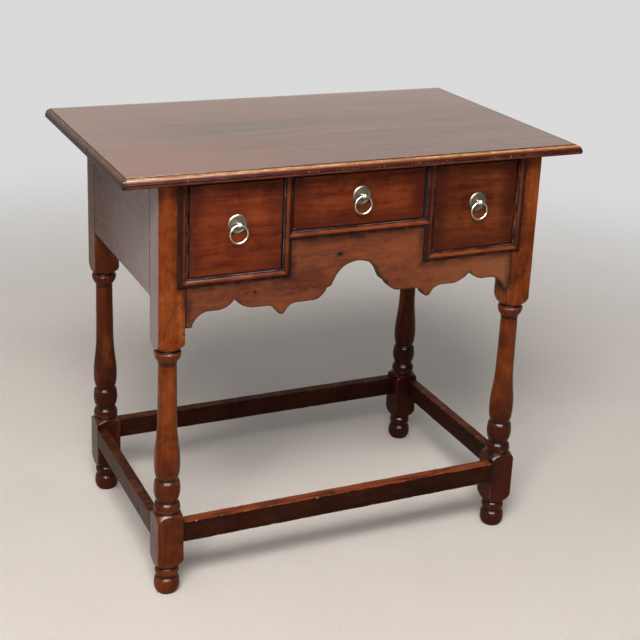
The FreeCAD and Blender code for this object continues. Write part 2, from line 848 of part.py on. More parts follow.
def pull_pin(x, z):
    """Split pin: a two-lobed eye, a collar on the plate, a shank through the front and clinched ends."""
    eye_y = front_y - eye_stand
    lobe = eye_half_width / 2
    steps = [
        ((-eye_half_width, eye_end_radius),),
        ((-lobe, eye_radius), (0, eye_waist_radius)),
        ((lobe, eye_radius), (eye_half_width, eye_end_radius)),
        ((eye_half_width, eye_bore_radius),),
    ]
    start = (-eye_half_width, eye_bore_radius)
    section = outline_face(start, steps, lambda across, r: Vector(x + across, eye_y, z + r))
    eye = section.revolve(Vector(x, eye_y, z), Vector(1, 0, 0), 360)
    back_of_eye = eye_y + (eye_bore_radius + eye_waist_radius) / 2
    plate_y = front_y - plate_thick
    collar_y = plate_y - pin_collar_thick
    clinch_y = front_back_y + clinch_thick
    neck = rod(pin_neck_radius, x, z, back_of_eye, collar_y)
    collar = rod(pin_collar_radius, x, z, collar_y, plate_y)
    shank = rod(shank_radius, x, z, plate_y, clinch_y)
    half = clinch_width / 2
    clinched = box(x - half, x + half, front_back_y, clinch_y, z - clinch_length, z + clinch_length)
    return eye.fuse([neck, collar, shank, clinched]).removeSplitter()


def pull_ring(x, z):
    """Ring that hangs from the eye of its pin."""
    centre = Vector(x, front_y - eye_stand, z - ring_radius)
    return Part.makeTorus(ring_radius, ring_wire_radius, centre, Vector(0, 1, 0))


# ---- Assembly ----------------------------------------------------------------------------------
def both_sides(name, shape):
    """A right-hand piece and its mirrored left-hand twin; the name has a {} where the side goes."""
    return {name.format("left"): mirrored(shape), name.format("right"): shape}


def frame_nodes():
    """Top, legs, boards and stretchers."""
    nodes = {}
    nodes["top_board_front"], nodes["top_board_back"] = top_boards()
    rail = top_rail()
    post = divider()
    posts = [post, mirrored(post)]
    nodes["apron_front"] = apron().cut(posts)
    nodes["top_rail_front"] = rail.cut(posts)
    nodes["back_board"] = back_board()
    nodes["stretcher_front"] = long_stretcher(front_y)
    nodes["stretcher_back"] = long_stretcher(back_y - long_stretcher_thick)
    nodes.update(both_sides("divider_{}", post))
    nodes.update(both_sides("side_panel_{}", side_panel()))
    nodes.update(both_sides("stretcher_{}", side_stretcher()))
    leg_x = leg_outer_x - leg_square / 2
    front_mates = [nodes["apron_front"], rail, nodes["stretcher_front"]]
    back_mates = [nodes["back_board"], nodes["stretcher_back"]]
    for side, x in (("left", -leg_x), ("right", leg_x)):
        side_mates = [nodes[f"side_panel_{side}"], nodes[f"stretcher_{side}"]]
        nodes[f"leg_front_{side}"] = leg(x, front_y + leg_square / 2, front_mates + side_mates)
        nodes[f"leg_back_{side}"] = leg(x, back_y - leg_square / 2, back_mates + side_mates)
    return nodes


def case_nodes():
    """Bead strips, partitions, runners, kickers and glue blocks."""
    strips = bead_strips()
    nodes = {"bead_centre_bottom": strips["centre"]}
    for place in ("outer", "bottom", "inner"):
        nodes.update(both_sides("bead_{}_" + place, strips[place]))
    nodes.update(both_sides("partition_{}", partition()))
    nodes.update(both_sides("runner_{}_outer", outer_runner()))
    nodes.update(both_sides("runner_{}_inner", inner_runner()))
    nodes.update(both_sides("runner_centre_{}", centre_runner()))
    nodes.update(both_sides("kicker_{}", kicker(side_centre_x)))
    nodes["kicker_centre"] = kicker(0)
    nodes["glue_blocks"] = glue_blocks()
    return nodes


def drawer_nodes():
    """The three drawers with their pulls."""
    side_z = side_sill_z + side_pull_rise
    centre_z = centre_sill_z + centre_pull_rise
    left = (left_pull_offset - side_centre_x, side_z)
    centre = (centre_pull_offset, centre_z)
    right = (right_pull_offset + side_centre_x, side_z)
    nodes = drawer("left", (-jamb_x, -step_half), left_drawer_shift, side_sill_z, left)
    nodes.update(drawer("centre", (-centre_half, centre_half), centre_drawer_shift, centre_sill_z, centre))
    nodes.update(drawer("right", (step_half, jamb_x), right_drawer_shift, side_sill_z, right))
    return nodes


def main():
    """Writes every piece to its own file."""
    os.makedirs("parts", exist_ok=True)
    nodes = frame_nodes()
    nodes.update(case_nodes())
    nodes.update(drawer_nodes())
    for name, shape in nodes.items():
        shape.exportStep(f"parts/{name}.step")
    print(len(nodes), "nodes")


main()
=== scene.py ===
import cmath
import json
import math

import bmesh
import bpy
from mathutils import Matrix, Vector, noise
from mathutils.kdtree import KDTree


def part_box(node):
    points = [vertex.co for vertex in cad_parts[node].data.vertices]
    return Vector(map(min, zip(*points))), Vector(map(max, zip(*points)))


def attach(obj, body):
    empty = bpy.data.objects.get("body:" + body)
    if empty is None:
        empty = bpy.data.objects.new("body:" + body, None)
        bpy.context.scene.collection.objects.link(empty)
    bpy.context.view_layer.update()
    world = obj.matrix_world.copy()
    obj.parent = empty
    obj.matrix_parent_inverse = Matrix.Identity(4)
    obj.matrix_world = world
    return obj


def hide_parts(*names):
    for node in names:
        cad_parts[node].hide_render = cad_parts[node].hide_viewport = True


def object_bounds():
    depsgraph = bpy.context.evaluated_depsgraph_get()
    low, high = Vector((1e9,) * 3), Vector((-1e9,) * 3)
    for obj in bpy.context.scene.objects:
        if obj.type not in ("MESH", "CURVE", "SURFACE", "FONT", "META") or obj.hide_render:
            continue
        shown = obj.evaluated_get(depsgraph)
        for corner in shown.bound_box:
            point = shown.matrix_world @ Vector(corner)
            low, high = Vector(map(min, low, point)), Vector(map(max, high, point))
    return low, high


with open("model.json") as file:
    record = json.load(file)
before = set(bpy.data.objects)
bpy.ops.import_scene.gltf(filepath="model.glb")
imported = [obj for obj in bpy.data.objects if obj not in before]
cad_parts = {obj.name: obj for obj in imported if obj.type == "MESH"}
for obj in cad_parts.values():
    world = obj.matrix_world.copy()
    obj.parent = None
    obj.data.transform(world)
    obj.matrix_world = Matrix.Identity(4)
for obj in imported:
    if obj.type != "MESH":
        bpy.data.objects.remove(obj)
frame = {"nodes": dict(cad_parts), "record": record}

# Lowboy with three drawers, an arched apron, turned legs and a box stretcher.
# The scene is in metres. Lengths that are named here are in millimetres and are multiplied by MM.

MM = 0.001
CAD_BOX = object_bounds()
CARCASS = list(frame["record"]["behaviour"]["bodies"]["carcass"])
DRAWERS = ("left", "centre", "right")

# ---- Edge of the top, from its lower arris up
QUIRK_DEPTH = 1.2
OVOLO_WIDTH = 8.0
OVOLO_DROP = 7.4
FILLET_STEP = 1.0
LOWER_ROUND = 2.5
BACK_ARRIS = 1.5
INWARD = {"left": (1.0, 0.0, 0.0), "front": (0.0, 1.0, 0.0), "right": (-1.0, 0.0, 0.0)}

# ---- Legs: lathe outline from the floor up, as (height, radius, bulge of the run that ends there)
BLOCK_RADIUS = 32.1
FOOT_OUTLINE = [
    (0.0, 17.0, 0.0), (13.0, 21.4, 1.13), (23.0, 20.4, 0.25), (28.0, 17.0, 0.61), (30.5, 17.0, 0.0),
    (46.0, 17.0, 2.8), (49.0, 17.0, 0.0), (70.0, BLOCK_RADIUS, 4.0), (135.5, BLOCK_RADIUS, 0.0),
    (147.5, 17.4, 0.4),
]
BALUSTER_OUTLINE = [
    (147.6, 18.5, 0.0), (153.0, 21.8, 0.89), (161.5, 20.0, 0.45), (165.0, 17.4, 0.24), (167.5, 17.4, 0.0),
    (186.0, 21.8, 1.11), (199.5, 20.6, 0.30), (204.0, 17.4, 0.62), (206.5, 17.4, 0.0),
    (220.5, 20.8, 0.6), (262.0, 19.3, 1.0), (305.0, 15.7, -0.53), (406.4, 14.7, 0.0),
]
CAPITAL_OUTLINE = [
    (406.5, 15.3, 0.0), (409.0, 15.3, 0.0), (424.5, 21.8, 1.69), (428.0, 17.4, 0.8), (430.5, 17.4, 0.0),
    (451.0, BLOCK_RADIUS, 4.0), (702.0, BLOCK_RADIUS, 0.0),
]
LEG_ARRIS = 1.1
POINTS_PER_SIDE = 36

# ---- Ring pulls: plate outline as (radius, height over the drawer front)
PLATE_OUTLINE = [
    (1.85, 0.2), (1.85, 1.3), (3.4, 1.36), (7.5, 1.2), (10.8, 1.22), (11.7, 1.02), (12.5, 1.5),
    (13.5, 1.6), (14.4, 1.25), (15.5, 0.72), (16.0, 0.45), (16.0, 0.0),
]
RING_RADIUS = 14.4
WIRE_RADIUS = 1.6
PLATE_POINTS = 96
RING_POINTS = 120
WIRE_POINTS = 24

# ---- Marks of age, and where the painted reflection lies
FIELD_REACH = 25.0
WEAR_REACH = 1.6
JOINT_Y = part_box("top_board_front")[1].y / MM
END_CRACKS = (JOINT_Y, -41.0)
CRACK_HALF_WIDTH = 0.7
TOP_CRACK = (317.0, 385.0, 171.0)
WARM_SPOT = (-300.0, -190.0, 0.0)
APRON_KNOTS = ((-32.0, 562.0, 4.5), (214.0, 541.0, 3.0), (-176.0, 515.0, 2.6))
CHEWED_SPAN = (440.0, 522.0)
SCAR_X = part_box("leg_front_left")[1].x / MM - 16.0
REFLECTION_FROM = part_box("leg_front_left")[0].x / MM + 3.0
REFLECTION_DEPTHS = (-160.0, 140.0)


# ---- Colours: woods as (dark, middle, light)
def rgb(red, green, blue):
    """Opaque linear colour."""
    return (red, green, blue, 1.0)


def scaled(colours, factor, green=1.0):
    """Darker or lighter set of colours, with its green and blue turned up or down."""
    return tuple(rgb(c[0] * factor, c[1] * factor * green, c[2] * factor * green) for c in colours)


RAW_WOOD = (rgb(0.1, 0.055, 0.028), rgb(0.17, 0.1, 0.055), rgb(0.25, 0.16, 0.09))
RED_BROWN = (rgb(0.05, 0.006, 0.002), rgb(0.125, 0.0175, 0.0042), rgb(0.215, 0.041, 0.0095))
TOP_BROWN = (rgb(0.07, 0.022, 0.013), rgb(0.128, 0.041, 0.023), rgb(0.165, 0.056, 0.032))
PANEL_BROWN = (rgb(0.04, 0.013, 0.007), rgb(0.072, 0.024, 0.012), rgb(0.108, 0.038, 0.02))
LEG_BROWN = (rgb(0.07, 0.0105, 0.0025), rgb(0.17, 0.029, 0.0055), rgb(0.29, 0.06, 0.012))
APRON_BROWN = (rgb(0.07, 0.016, 0.007), rgb(0.125, 0.031, 0.0115), rgb(0.19, 0.052, 0.019))
STRETCHER_BROWN = (rgb(0.02, 0.005, 0.0025), rgb(0.05, 0.0115, 0.0045), rgb(0.1, 0.026, 0.009))
BEAD_BROWN = (rgb(0.04, 0.0062, 0.0022), rgb(0.095, 0.015, 0.0042), rgb(0.17, 0.031, 0.0085))

# Near-black for pores, knots, cracks, joints and dirt, and also for painted shade in recesses, gaps and on
# narrow sides.
GRIME_AND_SHADE = rgb(0.01, 0.005, 0.0035)
SPECK = rgb(0.5, 0.42, 0.36)
# Painted reflection: a pale greyish tint laid on faces towards the far left.
REFLECTION_TINT = rgb(0.225, 0.172, 0.165)
# Painted shade for faces that don't face up.
UPRIGHT_SHADE = rgb(0.012, 0.0045, 0.003)
WORN = rgb(0.3, 0.1, 0.032)
TOP_VEIN = rgb(0.04, 0.015, 0.01)
TOP_SEAM = rgb(0.03, 0.014, 0.011)
# Painted reflection: the top paler to the back and left.
TOP_REFLECTION = rgb(0.26, 0.135, 0.085)
TOP_WARM = rgb(0.2, 0.055, 0.026)
# Upper ovolo: rubbed golden wood with painted light on it, and a painted highlight line.
OVOLO_LIT_AND_RUBBED = rgb(0.27, 0.082, 0.022)
OVOLO_HIGHLIGHT = rgb(0.66, 0.36, 0.16)
OVOLO_FOOT = rgb(0.06, 0.0085, 0.0035)
MOULDING_WORN = rgb(0.36, 0.15, 0.06)
FILLET_DARK = rgb(0.038, 0.006, 0.0032)
FILLET_LIP = rgb(0.22, 0.06, 0.018)
END_DARK = rgb(0.024, 0.01, 0.007)
APRON_THIN = rgb(0.21, 0.056, 0.017)
APRON_DARK = rgb(0.05, 0.011, 0.0055)
APRON_END = rgb(0.225, 0.08, 0.029)
KNOT_RING = rgb(0.05, 0.018, 0.009)
# Painted light for a bead's half beside the drawer.
BEAD_LIT = rgb(0.24, 0.052, 0.0125)
BEAD_DARK = rgb(0.02, 0.0058, 0.0032)
# Painted highlight along a bead's rubbed inner edge.
BEAD_RUBBED_HIGHLIGHT = rgb(0.22, 0.17, 0.17)
LEG_THIN = rgb(0.28, 0.064, 0.013)
LEG_DARK = rgb(0.028, 0.0065, 0.003)
LEG_SCAR = rgb(0.48, 0.17, 0.055)
LEG_CAPITAL = rgb(0.062, 0.012, 0.005)
LEG_LOWER = rgb(0.026, 0.005, 0.003)
STRETCHER_RUBBED = rgb(0.24, 0.05, 0.013)
STRETCHER_WORN = rgb(0.29, 0.072, 0.018)

PLATE_BRASS = (rgb(0.125, 0.11, 0.084), rgb(0.055, 0.047, 0.034))
RING_BRASS = (rgb(0.42, 0.38, 0.3), rgb(0.21, 0.17, 0.115))
PIN_BRASS = (rgb(0.55, 0.51, 0.43), rgb(0.34, 0.29, 0.21))


# ---- Mesh helpers
def rough(place, size, seed=0):
    """Smooth noise from -1 to 1 whose bumps are about size millimetres wide."""
    return noise.noise(Vector(place) / (size * MM) + Vector((seed * 7.3, seed * 3.1, seed * 5.7)))


def sharp_edges(bm, degrees=25):
    """Edges where two faces meet at more than an angle."""
    limit = math.radians(degrees)
    return [edge for edge in bm.edges if len(edge.link_faces) == 2 and edge.calc_face_angle(0) > limit]


def edge_samples(edges, spacing=1.5):
    """Points along edges, at most spacing millimetres apart."""
    points = []
    for edge in edges:
        start, end = (vert.co.copy() for vert in edge.verts)
        count = max(1, math.ceil((end - start).length / (spacing * MM)))
        points += [start.lerp(end, index / count) for index in range(count + 1)]
    return points


def tree_of(points):
    """Search tree on a list of points, or None for an empty list."""
    if not points:
        return None
    tree = KDTree(len(points))
    for index, point in enumerate(points):
        tree.insert(point, index)
    tree.balance()
    return tree


def distance(tree, point):
    """Millimetres from a point to the nearest point of a tree, up to a limit."""
    return min(FIELD_REACH, tree.find(point)[2] / MM) if tree else FIELD_REACH


def cad_bmesh(node):
    """A CAD node's mesh with its doubled points and flat seams joined."""
    bm = bmesh.new()
    bm.from_mesh(frame["nodes"][node].data)
    bmesh.ops.remove_doubles(bm, verts=bm.verts, dist=1e-6)
    bmesh.ops.dissolve_limit(bm, angle_limit=math.radians(0.4), verts=bm.verts, edges=bm.edges)
    return bm


def outline_samples(node):
    """Points on the outlines of a CAD piece."""
    bm = cad_bmesh(node)
    samples = edge_samples(sharp_edges(bm), 2.0)
    bm.free()
    return samples


OUTLINES = {node: outline_samples(node) for node in CARCASS}
BOXES = {node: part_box(node) for node in CARCASS}


def joint_tree(node, extra=()):
    """Search tree on the outlines of every fixed piece but one, and on some more points."""
    points = list(extra)
    for other, samples in OUTLINES.items():
        if other != node:
            points += samples
    return tree_of(points)


def touches_other(point, node, reach=0.8):
    """Whether a point lies on or in the box of another fixed piece."""
    for other, (low, high) in BOXES.items():
        if other != node and all(low[axis] - reach * MM <= point[axis] <= high[axis] + reach * MM
                                 for axis in range(3)):
            return True
    return False


def slice_mesh(bm, cell):
    """Cuts the faces into cells, so that they can carry fields and gentle waves."""
    for axis in range(3):
        values = [vert.co[axis] for vert in bm.verts]
        low, high = min(values), max(values)
        count = int((high - low) / (cell * MM))
        normal = Vector([float(index == axis) for index in range(3)])
        for index in range(1, count):
            place = normal * (low + (high - low) * index / count)
            parts = bm.verts[:] + bm.edges[:] + bm.faces[:]
            bmesh.ops.bisect_plane(bm, geom=parts, dist=1e-6, plane_co=place, plane_no=normal)


def set_fields(mesh, **fields):
    """Writes fields of one number per point to a mesh."""
    for name, values in fields.items():
        mesh.attributes.new(name, "FLOAT", "POINT").data.foreach_set("value", values)


def add_object(name, data):
    """New object in the scene."""
    item = bpy.data.objects.new(name, data)
    bpy.context.scene.collection.objects.link(item)
    return item


def dressed_mesh(bm, node):
    """Mesh of the piece that stands for a CAD node, from a bmesh that is freed."""
    mesh = bpy.data.meshes.new(node + "_dressed")
    bm.to_mesh(mesh)
    bm.free()
    return mesh


def finish_piece(node, mesh, material, body, keep_flat=True):
    """Makes the object of a mesh, smooth shaded, riding on its body in place of a CAD node."""
    mesh.polygons.foreach_set("use_smooth", [True] * len(mesh.polygons))
    mesh.materials.append(material)
    piece = add_object(mesh.name, mesh)
    if keep_flat:
        flat = piece.modifiers.new("flat_faces", "WEIGHTED_NORMAL")
        flat.weight = 60
        flat.keep_sharp = True
    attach(piece, body)
    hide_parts(node)


def board(node, material, body="carcass", cell=10.0, arris=0.45, worn=0.35, wave=0.14, seed=1,
          across=None):
    """A CAD board with eased and worn arrises, slightly uneven faces, and edge and recess fields.
    across(place) gives one more field, in millimetres."""
    bm = cad_bmesh(node)
    free = []
    joints = []
    sharp = sharp_edges(bm)
    for point in edge_samples(sharp):
        (joints if body == "carcass" and touches_other(point, node) else free).append(point)
    bmesh.ops.bevel(bm, geom=sharp, offset=arris * MM, offset_type="OFFSET", segments=2, profile=0.5,
                    affect="EDGES", clamp_overlap=True)
    slice_mesh(bm, cell)
    bm.normal_update()
    edge_tree = tree_of(free)
    recess_tree = joint_tree(node, joints) if body == "carcass" else None
    edge = []
    recess = []
    moved = []
    for vert in bm.verts:
        to_edge = distance(edge_tree, vert.co)
        edge.append(to_edge)
        recess.append(distance(recess_tree, vert.co))
        dip = wave * (0.5 + 0.5 * rough(vert.co, 60.0, seed))
        bite = max(0.0, 0.45 + rough(vert.co, 9.0, seed + 3) + 0.6 * rough(vert.co, 31.0, seed + 5))
        dip += worn * bite * max(0.0, 1.0 - to_edge / WEAR_REACH)
        moved.append(vert.co - vert.normal * dip * MM)
    for vert, place in zip(bm.verts, moved):
        vert.co = place
    mesh = dressed_mesh(bm, node)
    set_fields(mesh, edge=edge, recess=recess)
    if across:
        set_fields(mesh, across=[across(vert.co / MM) for vert in mesh.vertices])
    finish_piece(node, mesh, material, body)


# ---- Node graph helper
class Graph:
    """Node tree of a material or of the world, with short calls for the nodes used here."""

    def __init__(self, owner):
        owner.use_nodes = True
        self.owner = owner
        self.tree = owner.node_tree
        self.tree.nodes.clear()

    def add(self, kind, feeds=None, **settings):
        """New node, with its settings, and with its inputs linked or set."""
        node = self.tree.nodes.new("ShaderNode" + kind)
        for key, value in settings.items():
            setattr(node, key, value)
        for key, value in (feeds or {}).items():
            if isinstance(value, bpy.types.NodeSocket):
                self.tree.links.new(value, node.inputs[key])
            else:
                node.inputs[key].default_value = value
        return node

    def math(self, operation, a, b=0.0):
        return self.add("Math", {0: a, 1: b}, operation=operation).outputs[0]

    def times(self, first, *rest):
        result = first
        for factor in rest:
            result = self.math("MULTIPLY", result, factor)
        return result

    def total(self, *weighted):
        """Sum of (value, weight) pairs."""
        result = 0.0
        for value, weight in weighted:
            feeds = {0: value, 1: weight, 2: result}
            result = self.add("Math", feeds, operation="MULTIPLY_ADD").outputs[0]
        return result

    def vector(self, operation, a, b):
        return self.add("VectorMath", {0: a, 1: b}, operation=operation).outputs[0]

    def stretch(self, value, factors):
        return self.vector("MULTIPLY", value, factors)

    def vector_length(self, value):
        return self.add("VectorMath", {0: value}, operation="LENGTH").outputs["Value"]

    def split(self, value):
        """The outputs X, Y and Z of a vector."""
        return self.add("SeparateXYZ", {0: value}).outputs

    def place(self):
        """Place on the object, in millimetres."""
        return self.stretch(self.add("TexCoord").outputs["Object"], (1 / MM, 1 / MM, 1 / MM))

    def fade(self, value, start, end, high=1.0, low=0.0):
        """Goes smoothly from low to high as value goes from start to end."""
        feeds = {0: value, 1: start, 2: end, 3: low, 4: high}
        return self.add("MapRange", feeds, interpolation_type="SMOOTHSTEP").outputs[0]

    def span(self, value, start, full, last, end):
        """Rises from 0 at start to 1 at full, and falls from 1 at last to 0 at end."""
        return self.times(self.fade(value, start, full), self.fade(value, end, last))

    def off(self, value, middle):
        """How far a value is from its middle, either way."""
        return self.math("ABSOLUTE", self.math("SUBTRACT", value, middle))

    def mix(self, factor, a, b):
        return self.add("Mix", {0: factor, 6: a, 7: b}, data_type="RGBA", blend_type="MIX").outputs[2]

    def coated(self, colour, coats):
        """The colour under coats, which are (share, colour) pairs."""
        for share, coat in coats:
            colour = self.mix(share, colour, coat)
        return colour

    def cloud(self, place, scale=1.0, detail=2.0, roughness=0.5, output="Fac"):
        feeds = {"Vector": place, "Scale": scale, "Detail": detail, "Roughness": roughness}
        return self.add("TexNoise", feeds).outputs[output]

    def field(self, name):
        return self.add("Attribute", attribute_name=name).outputs["Fac"]

    def ramp(self, value, places, colours):
        """Colours at rising places, and mixtures of them between."""
        node = self.add("ValToRGB", {0: value})
        elements = node.color_ramp.elements
        for place in places[1:-1]:
            elements.new(place)
        elements[0].position, elements[len(elements) - 1].position = places[0], places[-1]
        for element, colour in zip(elements, colours):
            element.color = colour
        return node.outputs[0]

    def bump(self, height, depth, normal=None, strength=1.0):
        """Bump from a height of 0 to 1 that stands for depth millimetres."""
        feeds = {"Height": height, "Distance": depth * MM, "Strength": strength}
        if normal is not None:
            feeds["Normal"] = normal
        return self.add("Bump", feeds).outputs[0]

    def mix_shader(self, factor, a, b):
        return self.add("MixShader", {0: factor, 1: a, 2: b}).outputs[0]

    def shade(self, colour, roughness, normal, **constants):
        """Ends the tree in one shader, and gives its material."""
        feeds = {"Base Color": colour, "Roughness": roughness, "Normal": normal}
        feeds.update(constants)
        shader = self.add("BsdfPrincipled", feeds)
        self.add("OutputMaterial", {"Surface": shader.outputs[0]})
        return self.owner


# ---- Wood
GRAIN_DRIFT = 26.0
RAMP_PLACES = (0.30, 0.50, 0.72)
RAW_PLACES = (0.28, 0.5, 0.74)


def reflection_share(g, place, normal):
    """Where the painted reflection lies: faces towards the far left, more to the front and higher up."""
    split = g.split(place)
    outside = g.times(g.fade(split["X"], REFLECTION_FROM, REFLECTION_FROM - 3.0),
                      g.fade(split["Y"], REFLECTION_DEPTHS[1], REFLECTION_DEPTHS[0], low=0.08),
                      g.fade(split["Z"], 130.0, 430.0, low=0.15))
    return g.times(g.fade(normal["X"], -0.92, -0.985), outside)


def wood(name, grain, colours, seed, roughness=0.35, ior=1.3, worn=WORN, wear=0.4, aged=True, raw=None,
         marks=None, wave=0.35, pores=0.35, speck=0.0, figure=1.0, rim=0.0, recess_grime_and_shade=0.55, dark_sides=None,
         painted_reflection=0.0, grit=0.08, upright_shade_share=0.0):
    """Wood with bands, flame figure, fibres and pores along grain, and wear, dirt and painted shade where
    fields say so. raw is the direction of the unfinished face, rim darkens towards the edges with built-up
    finish and painted shade, dark_sides is the depth axis of a piece whose narrow sides get painted shade,
    with dark end grain at the ends, the reflection strength lays a painted reflection that pales the faces
    towards the far left, the upright shade strength lays painted shade on upright faces, grit is the depth of
    the fibres, and marks(g, place, streaks) gives more coats."""
    g = Graph(bpy.data.materials.new(name))
    place = g.place()
    facing = g.add("TexCoord").outputs["Normal"]
    normal = g.split(facing)
    seeded = g.vector("ADD", place, (seed * 311.0, seed * 173.0, seed * 97.0))
    drift = g.vector("SUBTRACT", g.cloud(seeded, 0.006, output="Color"), (0.5, 0.5, 0.5))
    wavy = g.vector("ADD", seeded, g.stretch(drift, [GRAIN_DRIFT] * 3))

    def streaks(length, width, detail=2.0, roughness=0.5):
        """Noise with features of about length by width millimetres, along the grain."""
        factors = [1 / width] * 3
        factors["xyz".index(grain)] = 1 / length
        return g.cloud(g.stretch(wavy, factors), 1.0, detail, roughness)

    band = streaks(520.0, 42.0)
    flame = g.math("PINGPONG", g.times(streaks(760.0, 55.0, 1.0), 15.0), 1.0)
    streak = streaks(150.0, 6.5, 3.0, 0.6)
    fibre = streaks(36.0, 1.2, 3.0, 0.6)
    pore = g.fade(streaks(10.0, 0.7, 1.0), 0.61, 0.70)
    mottle = g.cloud(seeded, 1 / 48.0, 4.0, 0.62)
    blotch = g.cloud(seeded, 1 / 11.0, 3.0, 0.6)
    tone = g.total((band, 0.55 * figure), (flame, 0.06 * figure), (streak, 0.42 * figure), (fibre, 0.30),
                   (mottle, 0.62), (blotch, 0.22), (1.0, 0.5 - 0.5 * (1.03 * figure + 1.14)))
    gloss = g.total((mottle, 0.16), (fibre, 0.08), (1.0, roughness - 0.12))
    relief = g.total((fibre, 0.5), (pore, -0.6), (1.0, 0.5))
    coats = [(g.times(pore, pores), GRIME_AND_SHADE)]
    if marks:
        coats += marks(g, place, streaks)
    # Painted shade: faces that don't face up are darkened.
    if upright_shade_share:
        coats.append((g.fade(normal["Z"], 0.75, 0.3, upright_shade_share), UPRIGHT_SHADE))
    if raw:
        towards = g.add("VectorMath", {0: facing, 1: raw}, operation="DOT_PRODUCT").outputs["Value"]
        bare = g.fade(towards, 0.45, 0.75)
        coats.append((bare, g.ramp(tone, RAW_PLACES, RAW_WOOD)))
        gloss = g.math("ADD", gloss, g.times(bare, 0.35))
    # Painted shade on the narrow sides, as in gaps and under edges, with dark end grain at the ends.
    if dark_sides:
        flank = g.fade(g.math("ABSOLUTE", normal[dark_sides]), 0.55, 0.25)
        coats.append((g.times(flank, 0.9), GRIME_AND_SHADE))
    if aged:
        edge = g.field("edge")
        recess = g.field("recess")
        # Darker towards the edges: finish built up there, and painted shade such as the top's shadow along a
        # drawer's upper edge.
        if rim:
            rim_finish_and_shade = g.times(g.fade(edge, 30.0, 2.0), g.fade(mottle, 0.30, 0.62), rim)
            coats.append((rim_finish_and_shade, colours[0]))
        patchy = g.cloud(seeded, 1 / 24.0, 4.0, 0.66)
        rubbed = g.times(g.fade(edge, 2.6, 0.2), g.fade(patchy, 0.44, 0.66), wear)
        # Dirt and painted shade in recesses and beside joints.
        wide = g.times(g.fade(recess, 14.0, 0.5), g.fade(patchy, 0.70, 0.36, low=0.35), recess_grime_and_shade)
        # Narrow dark lines in joints, cracks and grooves, with painted shade in the step under the top's
        # ovolo.
        line = g.times(g.fade(recess, 1.7, 0.5), 0.88)
        coats += [(rubbed, worn), (wide, GRIME_AND_SHADE)]
        # Painted reflection that pales the faces towards the far left.
        if painted_reflection:
            coats.append((g.times(reflection_share(g, place, normal), painted_reflection), REFLECTION_TINT))
        coats.append((line, GRIME_AND_SHADE))
        gloss = g.total((rubbed, 0.12), (line, 0.2), (gloss, 1.0))
        # Pale flecks near the edges: chips and dust, with painted glints among them.
        if speck:
            fleck = g.fade(g.cloud(seeded, 1 / 2.6, 2.0), 0.655, 0.70)
            coats.append((g.times(fleck, g.fade(edge, 3.4, 0.8), speck), SPECK))
    colour = g.coated(g.ramp(tone, RAMP_PLACES, colours), coats)
    slow = g.bump(g.cloud(seeded, 1 / 55.0, 2.0), wave)
    fine = g.bump(relief, grit, slow, 0.6)
    return g.shade(colour, gloss, fine, IOR=ior)


# ---- Marks of each wood, as coats
def lines_across(g, place, ys, half_width, waver=0.8):
    """Mask of thin wavering lines at depths ys."""
    depth = g.split(place)["Y"]
    shake = g.math("SUBTRACT", g.cloud(place, 1 / 14.0, 3.0), 0.5)
    mask = 0.0
    for y in ys:
        off = g.off(depth, g.total((shake, waver * 4), (1.0, y)))
        mask = g.math("MAXIMUM", mask, g.fade(off, half_width * 1.6, half_width * 0.6))
    return mask


def top_marks(g, place, streaks):
    """Dark veins, a faint joint line with a darker band beside it, a short crack, a painted reflection that
    pales the top to the back and left, and a redder patch at the front left."""
    split = g.split(place)
    x, y = split["X"], split["Y"]
    vein = streaks(340.0, 15.0, 4.0, 0.62)
    stretched = g.stretch(place, (1 / 260.0, 1 / 9.0, 1 / 9.0))
    streaky = g.fade(g.cloud(stretched, detail=3.0), 0.38, 0.62)
    start, end, crack_y = TOP_CRACK
    inside = g.span(x, start, start + 10.0, end - 10.0, end)
    pale = g.math("MAXIMUM", g.fade(y, 40.0, 230.0, 0.30), g.fade(x, -120.0, -370.0, 0.25))
    to_spot = g.stretch(g.vector("SUBTRACT", place, WARM_SPOT), (0.5, 1.0, 0.0))
    return [
        (g.fade(vein, 0.48, 0.66, 0.6), TOP_VEIN),
        (g.times(g.fade(g.off(y, JOINT_Y - 6.0), 52.0, 2.0), streaky, 0.55), TOP_SEAM),
        (g.times(lines_across(g, place, [JOINT_Y], 0.3, 0.0), 0.3), GRIME_AND_SHADE),
        (g.times(lines_across(g, place, [crack_y], CRACK_HALF_WIDTH), inside), GRIME_AND_SHADE),
        # Painted reflection, paler to the back and left.
        (pale, TOP_REFLECTION),
        (g.fade(g.vector_length(to_spot), 170.0, 20.0, 0.5), TOP_WARM),
    ]


